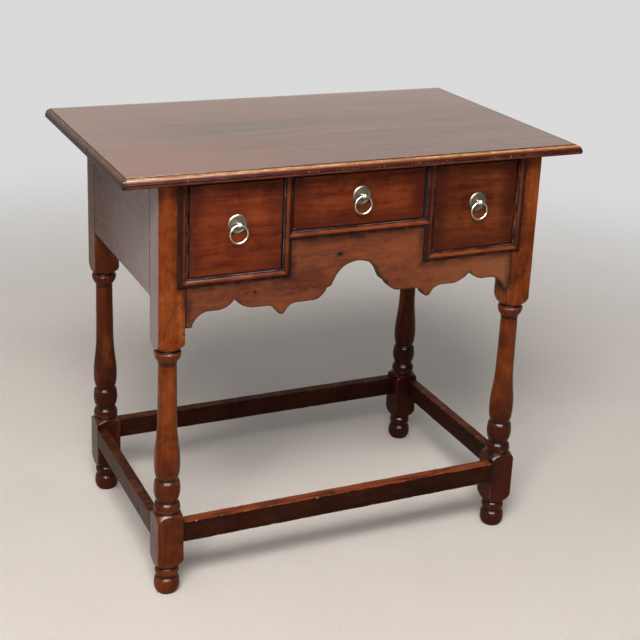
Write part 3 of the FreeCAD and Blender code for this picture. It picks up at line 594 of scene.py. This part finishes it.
def top_edge_marks(g, place, streaks):
    """Golden ovolo, rubbed wood with painted light on its upper part and a painted highlight line, over a
    dark red fillet, with cracks in the left end.
    """
    split = g.split(place)
    foot = CAD_BOX[1].z / MM - QUIRK_DEPTH - OVOLO_DROP
    left = CAD_BOX[0].x / MM
    patch = g.fade(g.cloud(place, 1 / 26.0, 4.0, 0.62), 0.34, 0.58, low=0.35)
    fine = g.fade(streaks(20.0, 1.0), 0.38, 0.58, low=0.3)

    def rise(start, end, high=1.0):
        """Goes from 0 to high between two heights over the foot of the ovolo."""
        return g.fade(split["Z"], foot + start, foot + end, high)

    at_end = g.fade(split["X"], left + 9.5, left + 7.0)
    return [
        # Painted light over rubbed wood on the upper ovolo.
        (rise(2.0, 4.8, 0.9), OVOLO_LIT_AND_RUBBED),
        # Painted highlight line along the upper ovolo.
        (g.times(rise(4.6, 5.8), rise(7.5, 6.8), patch, fine), OVOLO_HIGHLIGHT),
        (rise(3.4, 0.8, 0.85), OVOLO_FOOT),
        (rise(0.4, -0.3, 0.9), FILLET_DARK),
        (g.times(rise(-5.8, -4.6), rise(-3.0, -4.0), patch, 0.6), FILLET_LIP),
        (g.times(at_end, 0.85), END_DARK),
        (g.times(lines_across(g, place, END_CRACKS, CRACK_HALF_WIDTH), at_end), GRIME_AND_SHADE),
    ]


def apron_marks(g, place, streaks):
    """Small dark knots, each with a ring of darker wood, dark clouds, a brown right end, and orange patches
    where the finish is thin."""
    patch = streaks(44.0, 16.0, 5.0, 0.66)
    dark = streaks(90.0, 20.0, 4.0, 0.62)
    coats = [
        (g.fade(patch, 0.46, 0.66, 0.5), APRON_THIN),
        (g.fade(dark, 0.50, 0.68, 0.45), APRON_DARK),
        (g.fade(g.split(place)["X"], 90.0, 260.0, 0.5), APRON_END),
        (g.fade(g.field("edge"), 4.5, 0.8, 0.6), GRIME_AND_SHADE),
    ]
    for x, z, size in APRON_KNOTS:
        offset = g.stretch(g.vector("SUBTRACT", place, (x, 0.0, z)), (0.6, 0.0, 1.0))
        shake = g.times(g.cloud(place, 1 / 5.0, 2.0), size * 0.9)
        reach = g.math("ADD", g.vector_length(offset), shake)
        coats.append((g.fade(reach, size * 2.4, size * 1.0, 0.55), KNOT_RING))
        coats.append((g.fade(reach, size * 1.25, size * 0.8), GRIME_AND_SHADE))
    return coats


def bead_marks(lit_share, gap):
    """Marks of a bead: painted light on its half beside the drawer, as strong as the first argument, a dark
    outer half, painted shade as many millimetres wide as gap along the drawer, and a painted highlight line
    along the rubbed inner edge."""
    def marks(g, place, streaks):
        across = g.field("across")
        patch = g.fade(streaks(45.0, 9.0, 3.0, 0.6), 0.36, 0.60)
        shine = g.total((patch, 0.65), (1.0, 0.15))
        rubbed = g.fade(streaks(26.0, 8.0), 0.44, 0.60, 0.7, 0.06)
        return [
            # Painted light on the bead's half beside the drawer.
            (g.times(g.span(across, 2.4, 4.0, 6.2, 9.0), shine, lit_share), BEAD_LIT),
            (g.fade(across, 7.0, 10.0, 0.88), BEAD_DARK),
            # Painted shade in the gap along the drawer.
            (g.fade(across, gap + 0.7, gap, 0.85), GRIME_AND_SHADE),
            # Painted highlight along the rubbed inner edge.
            (g.times(g.fade(across, 1.5, 0.5), rubbed), BEAD_RUBBED_HIGHLIGHT),
        ]
    return marks


def leg_marks(lower_block, scarred):
    """Marks of a leg: lower_block is how much darker its lower block and foot are, and a scarred leg has
    pale scratches at the worn corner of its upper block."""
    def marks(g, place, streaks):
        split = g.split(place)
        x, z = split["X"], split["Z"]
        patch = streaks(110.0, 12.0, 4.0, 0.62)
        dark = streaks(46.0, 26.0, 3.0, 0.6)
        coats = [(g.fade(patch, 0.48, 0.70, 0.5), LEG_THIN), (g.fade(dark, 0.48, 0.72, 0.5), LEG_DARK)]
        if scarred:
            low, high = CHEWED_SPAN
            scratches = g.stretch(place, (0.45, 0.45, 0.28))
            scar = g.times(g.span(z, low, low + 14.0, high - 14.0, high + 10.0),
                           g.fade(g.cloud(scratches, detail=4.0, roughness=0.7), 0.48, 0.60),
                           g.fade(g.field("edge"), 14.0, 5.0), g.fade(x, SCAR_X, SCAR_X + 6.0), 0.7)
            coats.append((scar, LEG_SCAR))
        coats += [
            (g.times(g.span(z, 140.0, 150.0, 420.0, 440.0), 0.15), LEG_DARK),
            (g.times(g.span(z, 400.0, 409.0, 429.0, 434.0), 0.6), LEG_CAPITAL),
            (g.fade(z, 275.0, 190.0, lower_block), LEG_LOWER),
        ]
        return coats
    return marks


def stretcher_marks(g, place, streaks):
    """Upper face rubbed red by feet."""
    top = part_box("stretcher_front")[1].z / MM
    patch = g.fade(streaks(60.0, 9.0, 4.0, 0.6), 0.36, 0.62, 0.9, 0.15)
    return [(g.times(g.fade(g.split(place)["Z"], top - 1.6, top - 0.6), patch), STRETCHER_RUBBED)]


# ---- Brass
def brass(name, colours, roughness, spread, dents):
    """Old brass, in the first colour where it is handled and in the second elsewhere."""
    g = Graph(bpy.data.materials.new(name))
    place = g.place()
    patch = g.cloud(place, 1 / 6.0, 4.0, 0.6)
    pit = g.cloud(place, 1 / 1.2, 2.0)
    colour = g.mix(g.fade(patch, 0.5 - spread, 0.5 + spread), *colours)
    gloss = g.total((patch, 0.3), (1.0, roughness - 0.15))
    normal = g.bump(g.total((patch, 0.6), (pit, 0.4)), dents)
    return g.shade(colour, gloss, normal, Metallic=1.0)


# ---- Top
def arc(start, via, end, count):
    """Points after start on the arc through three points."""
    a, b, c = (complex(*point) for point in (start, via, end))
    ratio = (c - a) / (b - a)
    centre = a + (b - a) * (ratio - abs(ratio) ** 2) / (2j * ratio.imag)
    turn = cmath.phase((c - centre) / (a - centre))
    spots = [centre + (a - centre) * cmath.exp(1j * turn * i / count) for i in range(1, count + 1)]
    return [(spot.real, spot.imag) for spot in spots]


def top_section(low, high):
    """Moulding section from the underside to the flat, as (inset, height, edge, recess)."""
    quarter = 1 - math.sqrt(0.5)
    quirk_z = high - QUIRK_DEPTH
    ovolo_z = quirk_z - OVOLO_DROP
    quirk_in = OVOLO_WIDTH + FILLET_STEP
    start = (LOWER_ROUND, low)
    lower = arc(start, (LOWER_ROUND * quarter, low + LOWER_ROUND * quarter), (0.0, low + LOWER_ROUND), 6)
    mid = (FILLET_STEP + OVOLO_WIDTH * quarter, quirk_z - OVOLO_DROP * quarter)
    curve = arc((FILLET_STEP, ovolo_z), mid, (quirk_in, quirk_z), 12)
    section = [(LOWER_ROUND + 6.0, low, 9.0, 9.0), start + (4.0, 9.0)]
    section += [point + (3.0, 9.0) for point in lower]
    section += [(0.0, ovolo_z - 1.2, 1.0, 9.0), (0.0, ovolo_z - 0.3, 0.2, 9.0), (0.2, ovolo_z, 1.0, 2.0)]
    # Small recess values at the step under the ovolo darken it: painted shade.
    section += [(FILLET_STEP - 0.2, ovolo_z, 3.0, 0.2), (FILLET_STEP, ovolo_z + 0.2, 4.0, 0.2)]
    for index, point in enumerate(curve):
        section.append(point + (abs(index - 5) * 0.9 + 0.6, 9.0 if index < 10 else (11 - index) * 3.0))
    section += [(quirk_in, quirk_z + 0.2, 3.0, 0.2), (quirk_in, high - 0.35, 2.0, 1.4)]
    section += [(quirk_in + 0.35, high, 0.8, 3.0), (quirk_in + 2.5, high, 2.6, 9.0)]
    return section + [(quirk_in + 7.0, high, 7.0, 9.0)]


def stations(start, end, pitch, dense=()):
    """Even values from start to end, with extra ones round the dense places."""
    count = max(1, round(abs(end - start) / pitch))
    values = [start + (end - start) * index / count for index in range(count + 1)]
    for place in dense:
        if min(start, end) < place < max(start, end):
            values += [place + offset for offset in (-1.6, -0.8, 0.0, 0.8, 1.6)]
    return sorted(set(values), reverse=end < start)


def top_slab():
    """Mesh of the whole top, its moulding run round the front and both ends."""
    x0, y0, low = (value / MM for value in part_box("top_board_front")[0])
    x1, _, high = (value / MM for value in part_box("top_board_front")[1])
    y1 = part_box("top_board_back")[1].y / MM
    path = [("left", y) for y in stations(y1, y0, 5.0, END_CRACKS)]
    path += [("front", x) for x in stations(x0, x1, 5.0)[1:]]
    path += [("right", y) for y in stations(y0, y1, 5.0)[1:]]
    bm = bmesh.new()
    edge_layer = bm.verts.layers.float.new("edge")
    recess_layer = bm.verts.layers.float.new("recess")
    rings = []
    for inset, z, edge, recess in top_section(low, high):
        ring = []
        for side, run in path:
            nick = 0.0
            if side == "front":
                share = (run - x0) / (x1 - x0)
                place = [x0 + inset + share * (x1 - x0 - 2 * inset), y0 + inset, z]
            else:
                share = (y1 - run) / (y1 - y0)
                place = [x0 + inset if side == "left" else x1 - inset, y1 - share * (y1 - y0 - inset), z]
                if side == "left" and inset < OVOLO_WIDTH:
                    nick = max(0.0, 1.0 - min(abs(run - y) for y in END_CRACKS) / 1.2)
            spot = Vector(place) * MM
            worn = 0.12 + 0.12 * rough(spot, 25.0, 2) + 0.25 * max(0.0, rough(spot, 7.0, 4) - 0.1)
            worn *= 1.0 if inset < OVOLO_WIDTH + 3 else 0.3
            vert = bm.verts.new(spot + Vector(INWARD[side]) * (worn + 0.9 * nick) * MM)
            vert[edge_layer] = edge
            vert[recess_layer] = min(recess, 9.0 * (1.0 - nick))
            ring.append(vert)
        rings.append(ring)
    for below, above in zip(rings, rings[1:]):
        for index in range(len(path) - 1):
            bm.faces.new((below[index], below[index + 1], above[index + 1], above[index]))
    bm.faces.new(rings[-1])
    bm.faces.new(rings[0][::-1])
    bm.faces.new([ring[-1] for ring in rings] + [ring[0] for ring in rings[::-1]])
    bmesh.ops.recalc_face_normals(bm, faces=bm.faces)
    return bm


def cut(bm, place, normal):
    """Cuts away what lies on the normal's side of a plane, and closes the cut."""
    parts = bm.verts[:] + bm.edges[:] + bm.faces[:]
    made = bmesh.ops.bisect_plane(bm, geom=parts, dist=1e-7, plane_co=place, plane_no=normal,
                                  clear_outer=True)
    rim = [item for item in made["geom_cut"] if isinstance(item, bmesh.types.BMEdge)]
    bmesh.ops.contextual_create(bm, geom=rim)


def inset_of(place):
    """How far inside the front and the ends of the top a place lies, in millimetres."""
    return min(place.x - CAD_BOX[0].x, CAD_BOX[1].x - place.x, place.y - CAD_BOX[0].y) / MM


def top_board(node, slab, keep_side, material, edge_material):
    """One of the two boards of the top: the slab on one side of the joint, sliced and gently uneven."""
    bm = slab.copy()
    cut(bm, Vector((0.0, JOINT_Y * MM, 0.0)), Vector((0.0, -keep_side, 0.0)))
    if keep_side > 0:
        low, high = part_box("top_board_back")
        for z, up in ((high.z, 1.0), (low.z, -1.0)):
            place = Vector((0.0, high.y - BACK_ARRIS * MM, z))
            cut(bm, place, Vector((0.0, 1.0, up)).normalized())
    slice_mesh(bm, 14.0)
    recess_layer = bm.verts.layers.float["recess"]
    edge_layer = bm.verts.layers.float["edge"]
    for edge in sharp_edges(bm, 60):
        edge.smooth = False
    for face in bm.faces:
        if inset_of(face.calc_center_median()) < OVOLO_WIDTH + FILLET_STEP + 0.2:
            face.material_index = 1
    for vert in bm.verts:
        if vert.co.z > CAD_BOX[1].z - 0.2 * MM and inset_of(vert.co) > 14.0:
            vert[edge_layer] = 12.0
            vert[recess_layer] = 12.0
            vert.co.z -= (0.16 + 0.16 * rough(vert.co, 90.0, 3)) * MM
    bmesh.ops.recalc_face_normals(bm, faces=bm.faces)
    mesh = dressed_mesh(bm, node)
    finish_piece(node, mesh, material, "carcass")
    mesh.materials.append(edge_material)


# ---- Legs
def bulged(start, end, bulge, pitch):
    """Points after start on the arc to end that stands bulge outward, as (height, radius)."""
    rise, run = end[0] - start[0], end[1] - start[1]
    chord = math.hypot(rise, run)
    if abs(bulge) < 1e-6:
        count = max(1, math.ceil(chord / (3 * pitch)))
        return [(start[0] + rise * i / count, start[1] + run * i / count) for i in range(1, count + 1)]
    half_turn = 2 * math.atan(2 * bulge / chord)
    radius = chord / (2 * math.sin(half_turn))
    count = max(3, math.ceil(abs(2 * half_turn * radius) / pitch))
    points = []
    for index in range(1, count + 1):
        angle = -half_turn + 2 * half_turn * index / count
        forward = chord / 2 + radius * math.sin(angle)
        outward = radius * (math.cos(angle) - math.cos(half_turn))
        points.append((start[0] + (rise * forward - run * outward) / chord,
                       start[1] + (run * forward + rise * outward) / chord))
    return points


def lathe_rows(pitch=1.3):
    """Heights and radii of a leg from the floor up."""
    outline = FOOT_OUTLINE + BALUSTER_OUTLINE + CAPITAL_OUTLINE
    rows = [outline[0][:2]]
    for height, radius, bulge in outline[1:]:
        rows += bulged(rows[-1], (height, radius), bulge, pitch)
    return rows


def eased(rows, low=214.0, high=330.0, reach=9.0):
    """The rows with the joins of the long curves between two heights turned smooth."""
    result = []
    for height, radius in rows:
        if low < height < high:
            near = [(r, 1.0 - abs(z - height) / reach) for z, r in rows if abs(z - height) < reach]
            radius = sum(r * share for r, share in near) / sum(share for _, share in near)
        result.append((height, radius))
    return result


def relief_of(rows, reach=5.0):
    """How far each row stands out from the rows around it."""
    result = []
    for height, radius in rows:
        near = [min(r, 24.0) for z, r in rows if abs(z - height) < reach]
        result.append(min(radius, 24.0) - sum(near) / len(near))
    return result


def block_radius(angle, half, arris):
    """Distance from the axis to the side of a square post with rounded arrises."""
    c, s = abs(math.cos(angle)), abs(math.sin(angle))
    flat = half / max(c, s)
    inner = half - arris
    along = inner * (c + s)
    corner = along + math.sqrt(max(0.0, along * along - 2 * inner * inner + arris * arris))
    in_corner = min(c, s) * flat > inner
    return corner if in_corner else flat


def ring_mesh(name, verts, count, closed):
    """Mesh of rings of count points. The last ring joins the first, or both ends are capped."""
    rings = len(verts) // count
    faces = []
    for ring in range(rings if closed else rings - 1):
        below, above = ring * count, (ring + 1) % rings * count
        for index in range(count):
            after = (index + 1) % count
            faces.append((below + index, below + after, above + after, above + index))
    if not closed:
        faces += [range(count)[::-1], range((rings - 1) * count, rings * count)]
    mesh = bpy.data.meshes.new(name)
    mesh.from_pydata(verts, [], faces)
    return mesh


def leg(node, material, seed):
    """Turned leg: its rows follow the lathe outline, held within the square post."""
    low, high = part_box(node)
    centre = (low + high) / 2
    half = (high.x - low.x) / 2 / MM
    rows = eased(lathe_rows())
    angles = []
    for side in range(4):
        for index in range(POINTS_PER_SIDE):
            across = math.sin((2 * index / POINTS_PER_SIDE - 1) * math.pi / 2)
            angles.append(side * math.pi / 2 + math.atan(across))
    joints = joint_tree(node)

    def at(x, y, height):
        """Place at a distance from the axis, all in millimetres."""
        return Vector((centre.x + x * MM, centre.y + y * MM, height * MM))

    verts = []
    edge = []
    recess = []
    for (height, lathe), relief in zip(rows, relief_of(rows)):
        ends = min(height - CHEWED_SPAN[0], CHEWED_SPAN[1] - height)
        for angle in angles:
            x_out, y_out = math.cos(angle), math.sin(angle)
            spot = at(x_out * half, y_out * half, height)
            arris = LEG_ARRIS + 0.7 * rough(spot, 22.0, seed)
            if centre.x < 0 and centre.y < 0 and ends > 0 and x_out > 0 and y_out < 0:
                arris += min(1.0, ends / 12) * max(0.0, 1.3 + 2.6 * rough(spot, 8.0, seed + 9))
            square = block_radius(angle, half, max(0.5, arris))
            radius = min(lathe, square) - (0.10 + 0.10 * rough(spot, 30.0, seed + 4))
            place = at(x_out * radius, y_out * radius, height)
            verts.append(place)
            to_recess = FIELD_REACH
            if square < lathe:
                to_edge = half - min(abs(x_out), abs(y_out)) * radius
                corner = at(math.copysign(half, x_out), math.copysign(half, y_out), height)
                if to_edge < 6.0 and touches_other(corner, node):
                    to_edge = FIELD_REACH
            else:
                to_edge = max(0.0, 3.2 - 2.4 * relief)
                if relief < 0:
                    to_recess = max(0.0, 8.0 + 8.0 * relief)
            edge.append(to_edge)
            recess.append(min(to_recess, distance(joints, place)))
    mesh = ring_mesh(node + "_turned", verts, len(angles), False)
    set_fields(mesh, edge=edge, recess=recess)
    finish_piece(node, mesh, material, "carcass", keep_flat=False)


# ---- Ring pulls
def turn_outward(mesh):
    """Turns every face outward."""
    bm = bmesh.new()
    bm.from_mesh(mesh)
    bmesh.ops.recalc_face_normals(bm, faces=bm.faces)
    bm.to_mesh(mesh)
    bm.free()


def pull_plate(name, material):
    """Round backplate: a lathe form with a raised rim and a hand-cut outline."""
    node = "pull_plate_" + name
    low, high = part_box(node)
    centre = (low + high) / 2
    verts = []
    for radius, proud in PLATE_OUTLINE:
        for index in range(PLATE_POINTS):
            angle = 2 * math.pi * index / PLATE_POINTS
            out = Vector((math.cos(angle), 0.0, math.sin(angle)))
            uneven = 0.5 + 0.5 * rough(centre + out * 0.016, 9.0, 6)
            reach = radius - (0.35 * uneven if radius > 10 else 0.0)
            verts.append(Vector((centre.x, high.y - proud * MM, centre.z)) + out * reach * MM)
    mesh = ring_mesh(node + "_dressed", verts, PLATE_POINTS, True)
    turn_outward(mesh)
    finish_piece(node, mesh, material, "drawer_" + name)


def pull_ring(name, material):
    """Cast ring whose wire is worn thin where it hangs and is a little uneven elsewhere."""
    node = "pull_ring_" + name
    low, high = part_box(node)
    centre = (low + high) / 2
    verts = []
    for step in range(RING_POINTS):
        turn = 2 * math.pi * step / RING_POINTS
        out = Vector((math.sin(turn), 0.0, math.cos(turn)))
        hang = max(0.0, math.cos(turn)) ** 6
        wire = WIRE_RADIUS * (0.97 - 0.14 * hang - 0.03 * rough(centre + out * 0.014, 11.0, 8))
        for index in range(WIRE_POINTS):
            angle = 2 * math.pi * index / WIRE_POINTS
            reach = RING_RADIUS + wire * math.cos(angle)
            verts.append(centre + out * reach * MM + Vector((0.0, wire * math.sin(angle) * MM, 0.0)))
    mesh = ring_mesh(node + "_dressed", verts, WIRE_POINTS, True)
    turn_outward(mesh)
    finish_piece(node, mesh, material, "ring_" + name, keep_flat=False)


def paint(node, material):
    """Gives a CAD node a detailed material."""
    slots = frame["nodes"][node].data.materials
    slots.clear()
    slots.append(material)


# ---- Assembly
DOWN, BACKWARD, FORWARD = (0.0, 0.0, -1.0), (0.0, 1.0, 0.0), (0.0, -1.0, 0.0)


def build_top():
    flat = wood("top_polished", "x", TOP_BROWN, 1, roughness=0.24, ior=1.6, wear=0.3, figure=0.9, grit=0.004,
                pores=0.2, raw=DOWN, marks=top_marks, wave=0.5, speck=0.6, recess_grime_and_shade=0.3)
    edge = wood("top_moulding", "x", RED_BROWN, 2, roughness=0.24, ior=1.2, wear=0.15, figure=0.6,
                marks=top_edge_marks, speck=0.45, recess_grime_and_shade=0.7, worn=MOULDING_WORN)
    slab = top_slab()
    top_board("top_board_front", slab, -1.0, flat, edge)
    top_board("top_board_back", slab, 1.0, flat, edge)
    slab.free()


def build_legs():
    looks = {"front_left": (1.0, 0.58), "front_right": (0.84, 0.86),
             "back_left": (0.40, 0.72), "back_right": (0.38, 0.85)}
    for index, (name, (level, lower_block)) in enumerate(looks.items()):
        node = "leg_" + name
        marks = leg_marks(lower_block, name == "front_left")
        material = wood(node + "_wood", "z", scaled(LEG_BROWN, level, 1.14), 11 + index, roughness=0.18,
                        ior=1.16, figure=0.45, wear=0.3, speck=0.25, marks=marks, painted_reflection=1.0, grit=0.03)
        leg(node, material, 20 + index)


def build_stretchers():
    """Each has its grain, level, wear, cell, depth of its worn edges, and the strength of painted shade on
    its upright faces.
    """
    looks = {"front": ("x", 1.12, 0.9, 8.0, 1.6, 0.75), "back": ("x", 0.80, 0.3, 12.0, 1.0, 0.55),
             "left": ("y", 0.95, 0.3, 10.0, 1.2, 0.25), "right": ("y", 1.1, 0.4, 10.0, 1.2, 0.75)}
    for index, (name, (grain, level, wear, cell, worn, upright_shade_share)) in enumerate(looks.items()):
        node = "stretcher_" + name
        material = wood(node, grain, scaled(STRETCHER_BROWN, level), 21 + index, roughness=0.30, ior=1.08,
                        wear=wear, figure=0.8, worn=STRETCHER_WORN, speck=wear, painted_reflection=1.0, upright_shade_share=upright_shade_share,
                        marks=stretcher_marks if name == "front" else None)
        board(node, material, cell=cell, arris=1.1, worn=worn, seed=31 + index)


def build_case():
    apron_wood = wood("case_apron", "x", APRON_BROWN, 31, roughness=0.36, ior=1.18, raw=BACKWARD, figure=0.8,
                      dark_sides="Y", marks=apron_marks, wear=0.15, speck=0.15, recess_grime_and_shade=0.8)
    board("apron_front", apron_wood, cell=6.0, arris=0.6, worn=0.7, seed=41)
    post_wood = wood("case_upright", "z", APRON_BROWN, 32, roughness=0.45, dark_sides="Y")
    rail_wood = wood("case_rail", "x", APRON_BROWN, 33, roughness=0.45, dark_sides="Y")
    board("top_rail_front", rail_wood, seed=42)
    for side, inward in (("left", 1.0), ("right", -1.0)):
        board("divider_" + side, post_wood, seed=43)
        panel_wood = wood("case_panel_" + side, "y", PANEL_BROWN, 34, roughness=0.28, ior=1.15, figure=0.5,
                          raw=(inward, 0.0, 0.0), wave=0.6, painted_reflection=1.0, recess_grime_and_shade=0.3, grit=0.02)
        board("side_panel_" + side, panel_wood, cell=12.0, wave=0.25, seed=44)
    back_wood = wood("case_back", "x", APRON_BROWN, 35, roughness=0.5, raw=FORWARD, wave=0.8)
    board("back_board", back_wood, cell=14.0, wave=0.3, seed=45)


def build_beads():
    """Bead strips. Their field across runs from the drawer's side of a strip, at 0, to its outer side."""
    materials = {}
    for seed, grain, level, lit_share, gap in ((41, "x", 1.0, 1.0, 2.2), (42, "z", 0.7, 0.5, 3.1)):
        materials[grain] = wood("bead_" + grain, grain, scaled(BEAD_BROWN, level), seed, roughness=0.24,
                                ior=1.15, wear=0.15, speck=0.12, figure=0.5, dark_sides="Y", recess_grime_and_shade=0.2,
                                marks=bead_marks(lit_share, gap))

    def strip(node, grain, seed, across):
        board(node, materials[grain], cell=8.0, arris=0.35, worn=0.25, wave=0.1, seed=seed,
              across=across)

    centre_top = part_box("bead_centre_bottom")[1].z / MM
    side_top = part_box("bead_right_bottom")[1].z / MM
    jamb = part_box("bead_right_outer")[0].x / MM
    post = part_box("bead_right_inner")[1].x / MM
    strip("bead_centre_bottom", "x", 51, lambda place: centre_top - place.z)
    for side in ("left", "right"):
        strip(f"bead_{side}_outer", "z", 52, lambda place: abs(place.x) - jamb)
        strip(f"bead_{side}_bottom", "x", 52, lambda place: side_top - place.z)
        strip(f"bead_{side}_inner", "z", 52, lambda place: post - abs(place.x))


def build_drawers():
    inner = {axis: wood("drawer_inner_" + axis, axis, RAW_WOOD, 61, roughness=0.72, aged=False, pores=0.6)
             for axis in "xy"}
    tints = {"left": (1.10, 1.17), "centre": (0.87, 1.12), "right": (0.75, 1.3)}
    for index, (name, (level, green)) in enumerate(tints.items()):
        front_wood = wood("drawer_front_" + name, "x", scaled(RED_BROWN, level, green), 51 + index,
                          roughness=0.32, ior=1.15, raw=BACKWARD, wear=0.3, speck=0.6, rim=1.0,
                          dark_sides="Y")
        board(f"drawer_{name}_front", front_wood, body="drawer_" + name,
              cell=9.0, arris=0.3, worn=0.5, seed=61 + index)
        for part, axis in (("side_l", "y"), ("side_r", "y"), ("back", "x"), ("bottom", "x")):
            paint(f"drawer_{name}_{part}", inner[axis])


def build_inside():
    inner = wood("case_inner", "y", RAW_WOOD, 71, roughness=0.75, aged=False, pores=0.6)
    for node in CARCASS:
        if node.startswith(("runner_", "kicker_", "partition_", "glue_")):
            paint(node, inner)


def build_pulls():
    plate_brass = brass("brass_plate", PLATE_BRASS, 0.38, 0.3, 0.06)
    ring_brass = brass("brass_ring", RING_BRASS, 0.30, 0.2, 0.03)
    pin_brass = brass("brass_pin", PIN_BRASS, 0.36, 0.2, 0.04)
    for name in DRAWERS:
        pull_plate(name, plate_brass)
        pull_ring(name, ring_brass)
        paint("pull_pin_" + name, pin_brass)


# ---- Stage, light and camera
CAMERA_PLACE = (-887.8, -1979.7, 1228.5)
CAMERA_TURN = (24.9, -18.2, 2.4)
CAMERA_LENS = 73.4
CAMERA_SHIFT_Y = -0.125
SENSOR_WIDTH = 36.0
FLOOR_SIZE = 14.0
FLOOR_COLOURS = (rgb(0.59, 0.525, 0.465), rgb(0.645, 0.58, 0.525), rgb(0.69, 0.63, 0.58))
FAR_FLOOR = rgb(0.70, 0.70, 0.70)
PALE_FROM = 900.0
PALE_FULL = 2600.0
FILL_LEFT, FILL_RIGHT = 0.60, 0.16
ROOM_FRONT, ROOM_BACK = 0.22, 0.84
COOL = (0.90, 0.94, 1.0)
# Each lamp has its place, target, size in metres, power, colour, and whether it shines in surfaces or,
# when not, lights them.
LAMPS = {
    "key": ((-1.5, -2.5, 3.3), (0.0, 0.0, 0.4), (1.6, 1.4), 150.0, (1.0, 0.985, 0.96), False),
    "fill": ((-0.65, -2.1, 2.9), (-0.1, -0.1, 0.3), (0.8, 0.5), 24.0, COOL, False),
    "glint": ((-0.4, -1.05, 2.9), (0.0, -0.15, 0.3), (2.6, 0.5), 470.0, COOL, True),
    "window": ((-1.0, -2.3, 2.0), (0.0, -0.15, 0.3), (2.6, 0.9), 700.0, (0.94, 0.96, 1.0), True),
}


def build_floor():
    """Large pale floor with a faint weave, paler far away where the camera sees it."""
    half = FLOOR_SIZE / 2
    mesh = bpy.data.meshes.new("floor")
    corners = ((-half, -half), (half, -half), (half, half), (-half, half))
    mesh.from_pydata([(x, y, 0.0) for x, y in corners], [], [range(4)])
    g = Graph(bpy.data.materials.new("floor_pale"))
    place = g.place()
    loops = g.cloud(place, 1 / 5.0, 2.0)
    shade = g.cloud(place, 1 / 180.0, 2.0)
    colour = g.ramp(g.total((loops, 0.35), (shade, 0.25), (1.0, 0.2)), (0.2, 0.5, 0.8), FLOOR_COLOURS)
    dull = {"Base Color": colour, "Roughness": 0.9, "Specular IOR Level": 0.0, "Normal": g.bump(loops, 1.0)}
    lit = g.add("BsdfPrincipled", dull).outputs[0]
    pale = g.add("Emission", {"Color": FAR_FLOOR, "Strength": 1.0}).outputs[0]
    seen = g.add("LightPath").outputs["Is Camera Ray"]
    share = g.times(g.fade(g.vector_length(place), PALE_FROM, PALE_FULL), seen)
    g.add("OutputMaterial", {"Surface": g.mix_shader(share, lit, pale)})
    mesh.materials.append(g.owner)
    add_object("floor", mesh)


def add_light(name, place, target, size, power, colour, shines):
    """Soft rectangular lamp that the camera doesn't see."""
    lamp = bpy.data.lights.new(name, "AREA")
    lamp.shape = "RECTANGLE"
    lamp.size, lamp.size_y = size
    lamp.energy = power
    lamp.color = colour
    light = add_object(name, lamp)
    light.location = place
    light.rotation_euler = (Vector(target) - Vector(place)).to_track_quat("-Z", "Y").to_euler()
    light.visible_camera = False
    light.visible_diffuse = not shines
    light.visible_glossy = shines


def build_world():
    """Pale surroundings for the camera. Reflections see them dimmer towards the front than behind, and
    the fill is stronger from the left than from the right."""
    g = Graph(bpy.data.worlds.new("studio"))
    rays = g.add("LightPath").outputs
    reflected = g.math("MAXIMUM", rays["Is Glossy Ray"], rays["Is Transmission Ray"])
    direction = g.split(g.add("TexCoord").outputs["Generated"])

    def glow(colour, strength):
        return g.add("Background", {"Color": colour, "Strength": strength}).outputs[0]

    even = glow(rgb(0.95, 0.98, 1.0), g.fade(direction["X"], -0.7, 0.7, FILL_RIGHT, FILL_LEFT))
    room = glow(rgb(1.0, 0.945, 0.885), g.fade(direction["Y"], -0.5, 0.45, ROOM_BACK, ROOM_FRONT))
    pale = glow(rgb(1.0, 0.99, 0.98), ROOM_BACK)
    whole = g.mix_shader(rays["Is Camera Ray"], g.mix_shader(reflected, even, room), pale)
    g.add("OutputWorld", {"Surface": whole})
    bpy.context.scene.world = g.owner


def build_camera():
    """Camera in front of the left half, turned by yaw, pitch and roll."""
    yaw, pitch, roll = (math.radians(value) for value in CAMERA_TURN)
    forward = Vector((math.sin(yaw) * math.cos(pitch), math.cos(yaw) * math.cos(pitch), math.sin(pitch)))
    level = Vector((math.cos(yaw), -math.sin(yaw), 0.0))
    upright = level.cross(forward)
    right = level * math.cos(roll) + upright * math.sin(roll)
    up = upright * math.cos(roll) - level * math.sin(roll)
    data = bpy.data.cameras.new("camera")
    data.sensor_width = SENSOR_WIDTH
    data.lens = CAMERA_LENS
    data.shift_y = CAMERA_SHIFT_Y
    camera = add_object("camera", data)
    camera.rotation_euler = Matrix((right, up, -forward)).transposed().to_euler()
    camera.location = Vector(CAMERA_PLACE) * MM
    bpy.context.scene.camera = camera


def main():
    build_top()
    build_legs()
    build_stretchers()
    build_case()
    build_beads()
    build_drawers()
    build_inside()
    build_pulls()
    build_floor()
    build_world()
    for name, settings in LAMPS.items():
        add_light(name, *settings)
    bpy.context.scene.view_settings.view_transform = "Standard"
    build_camera()


main()
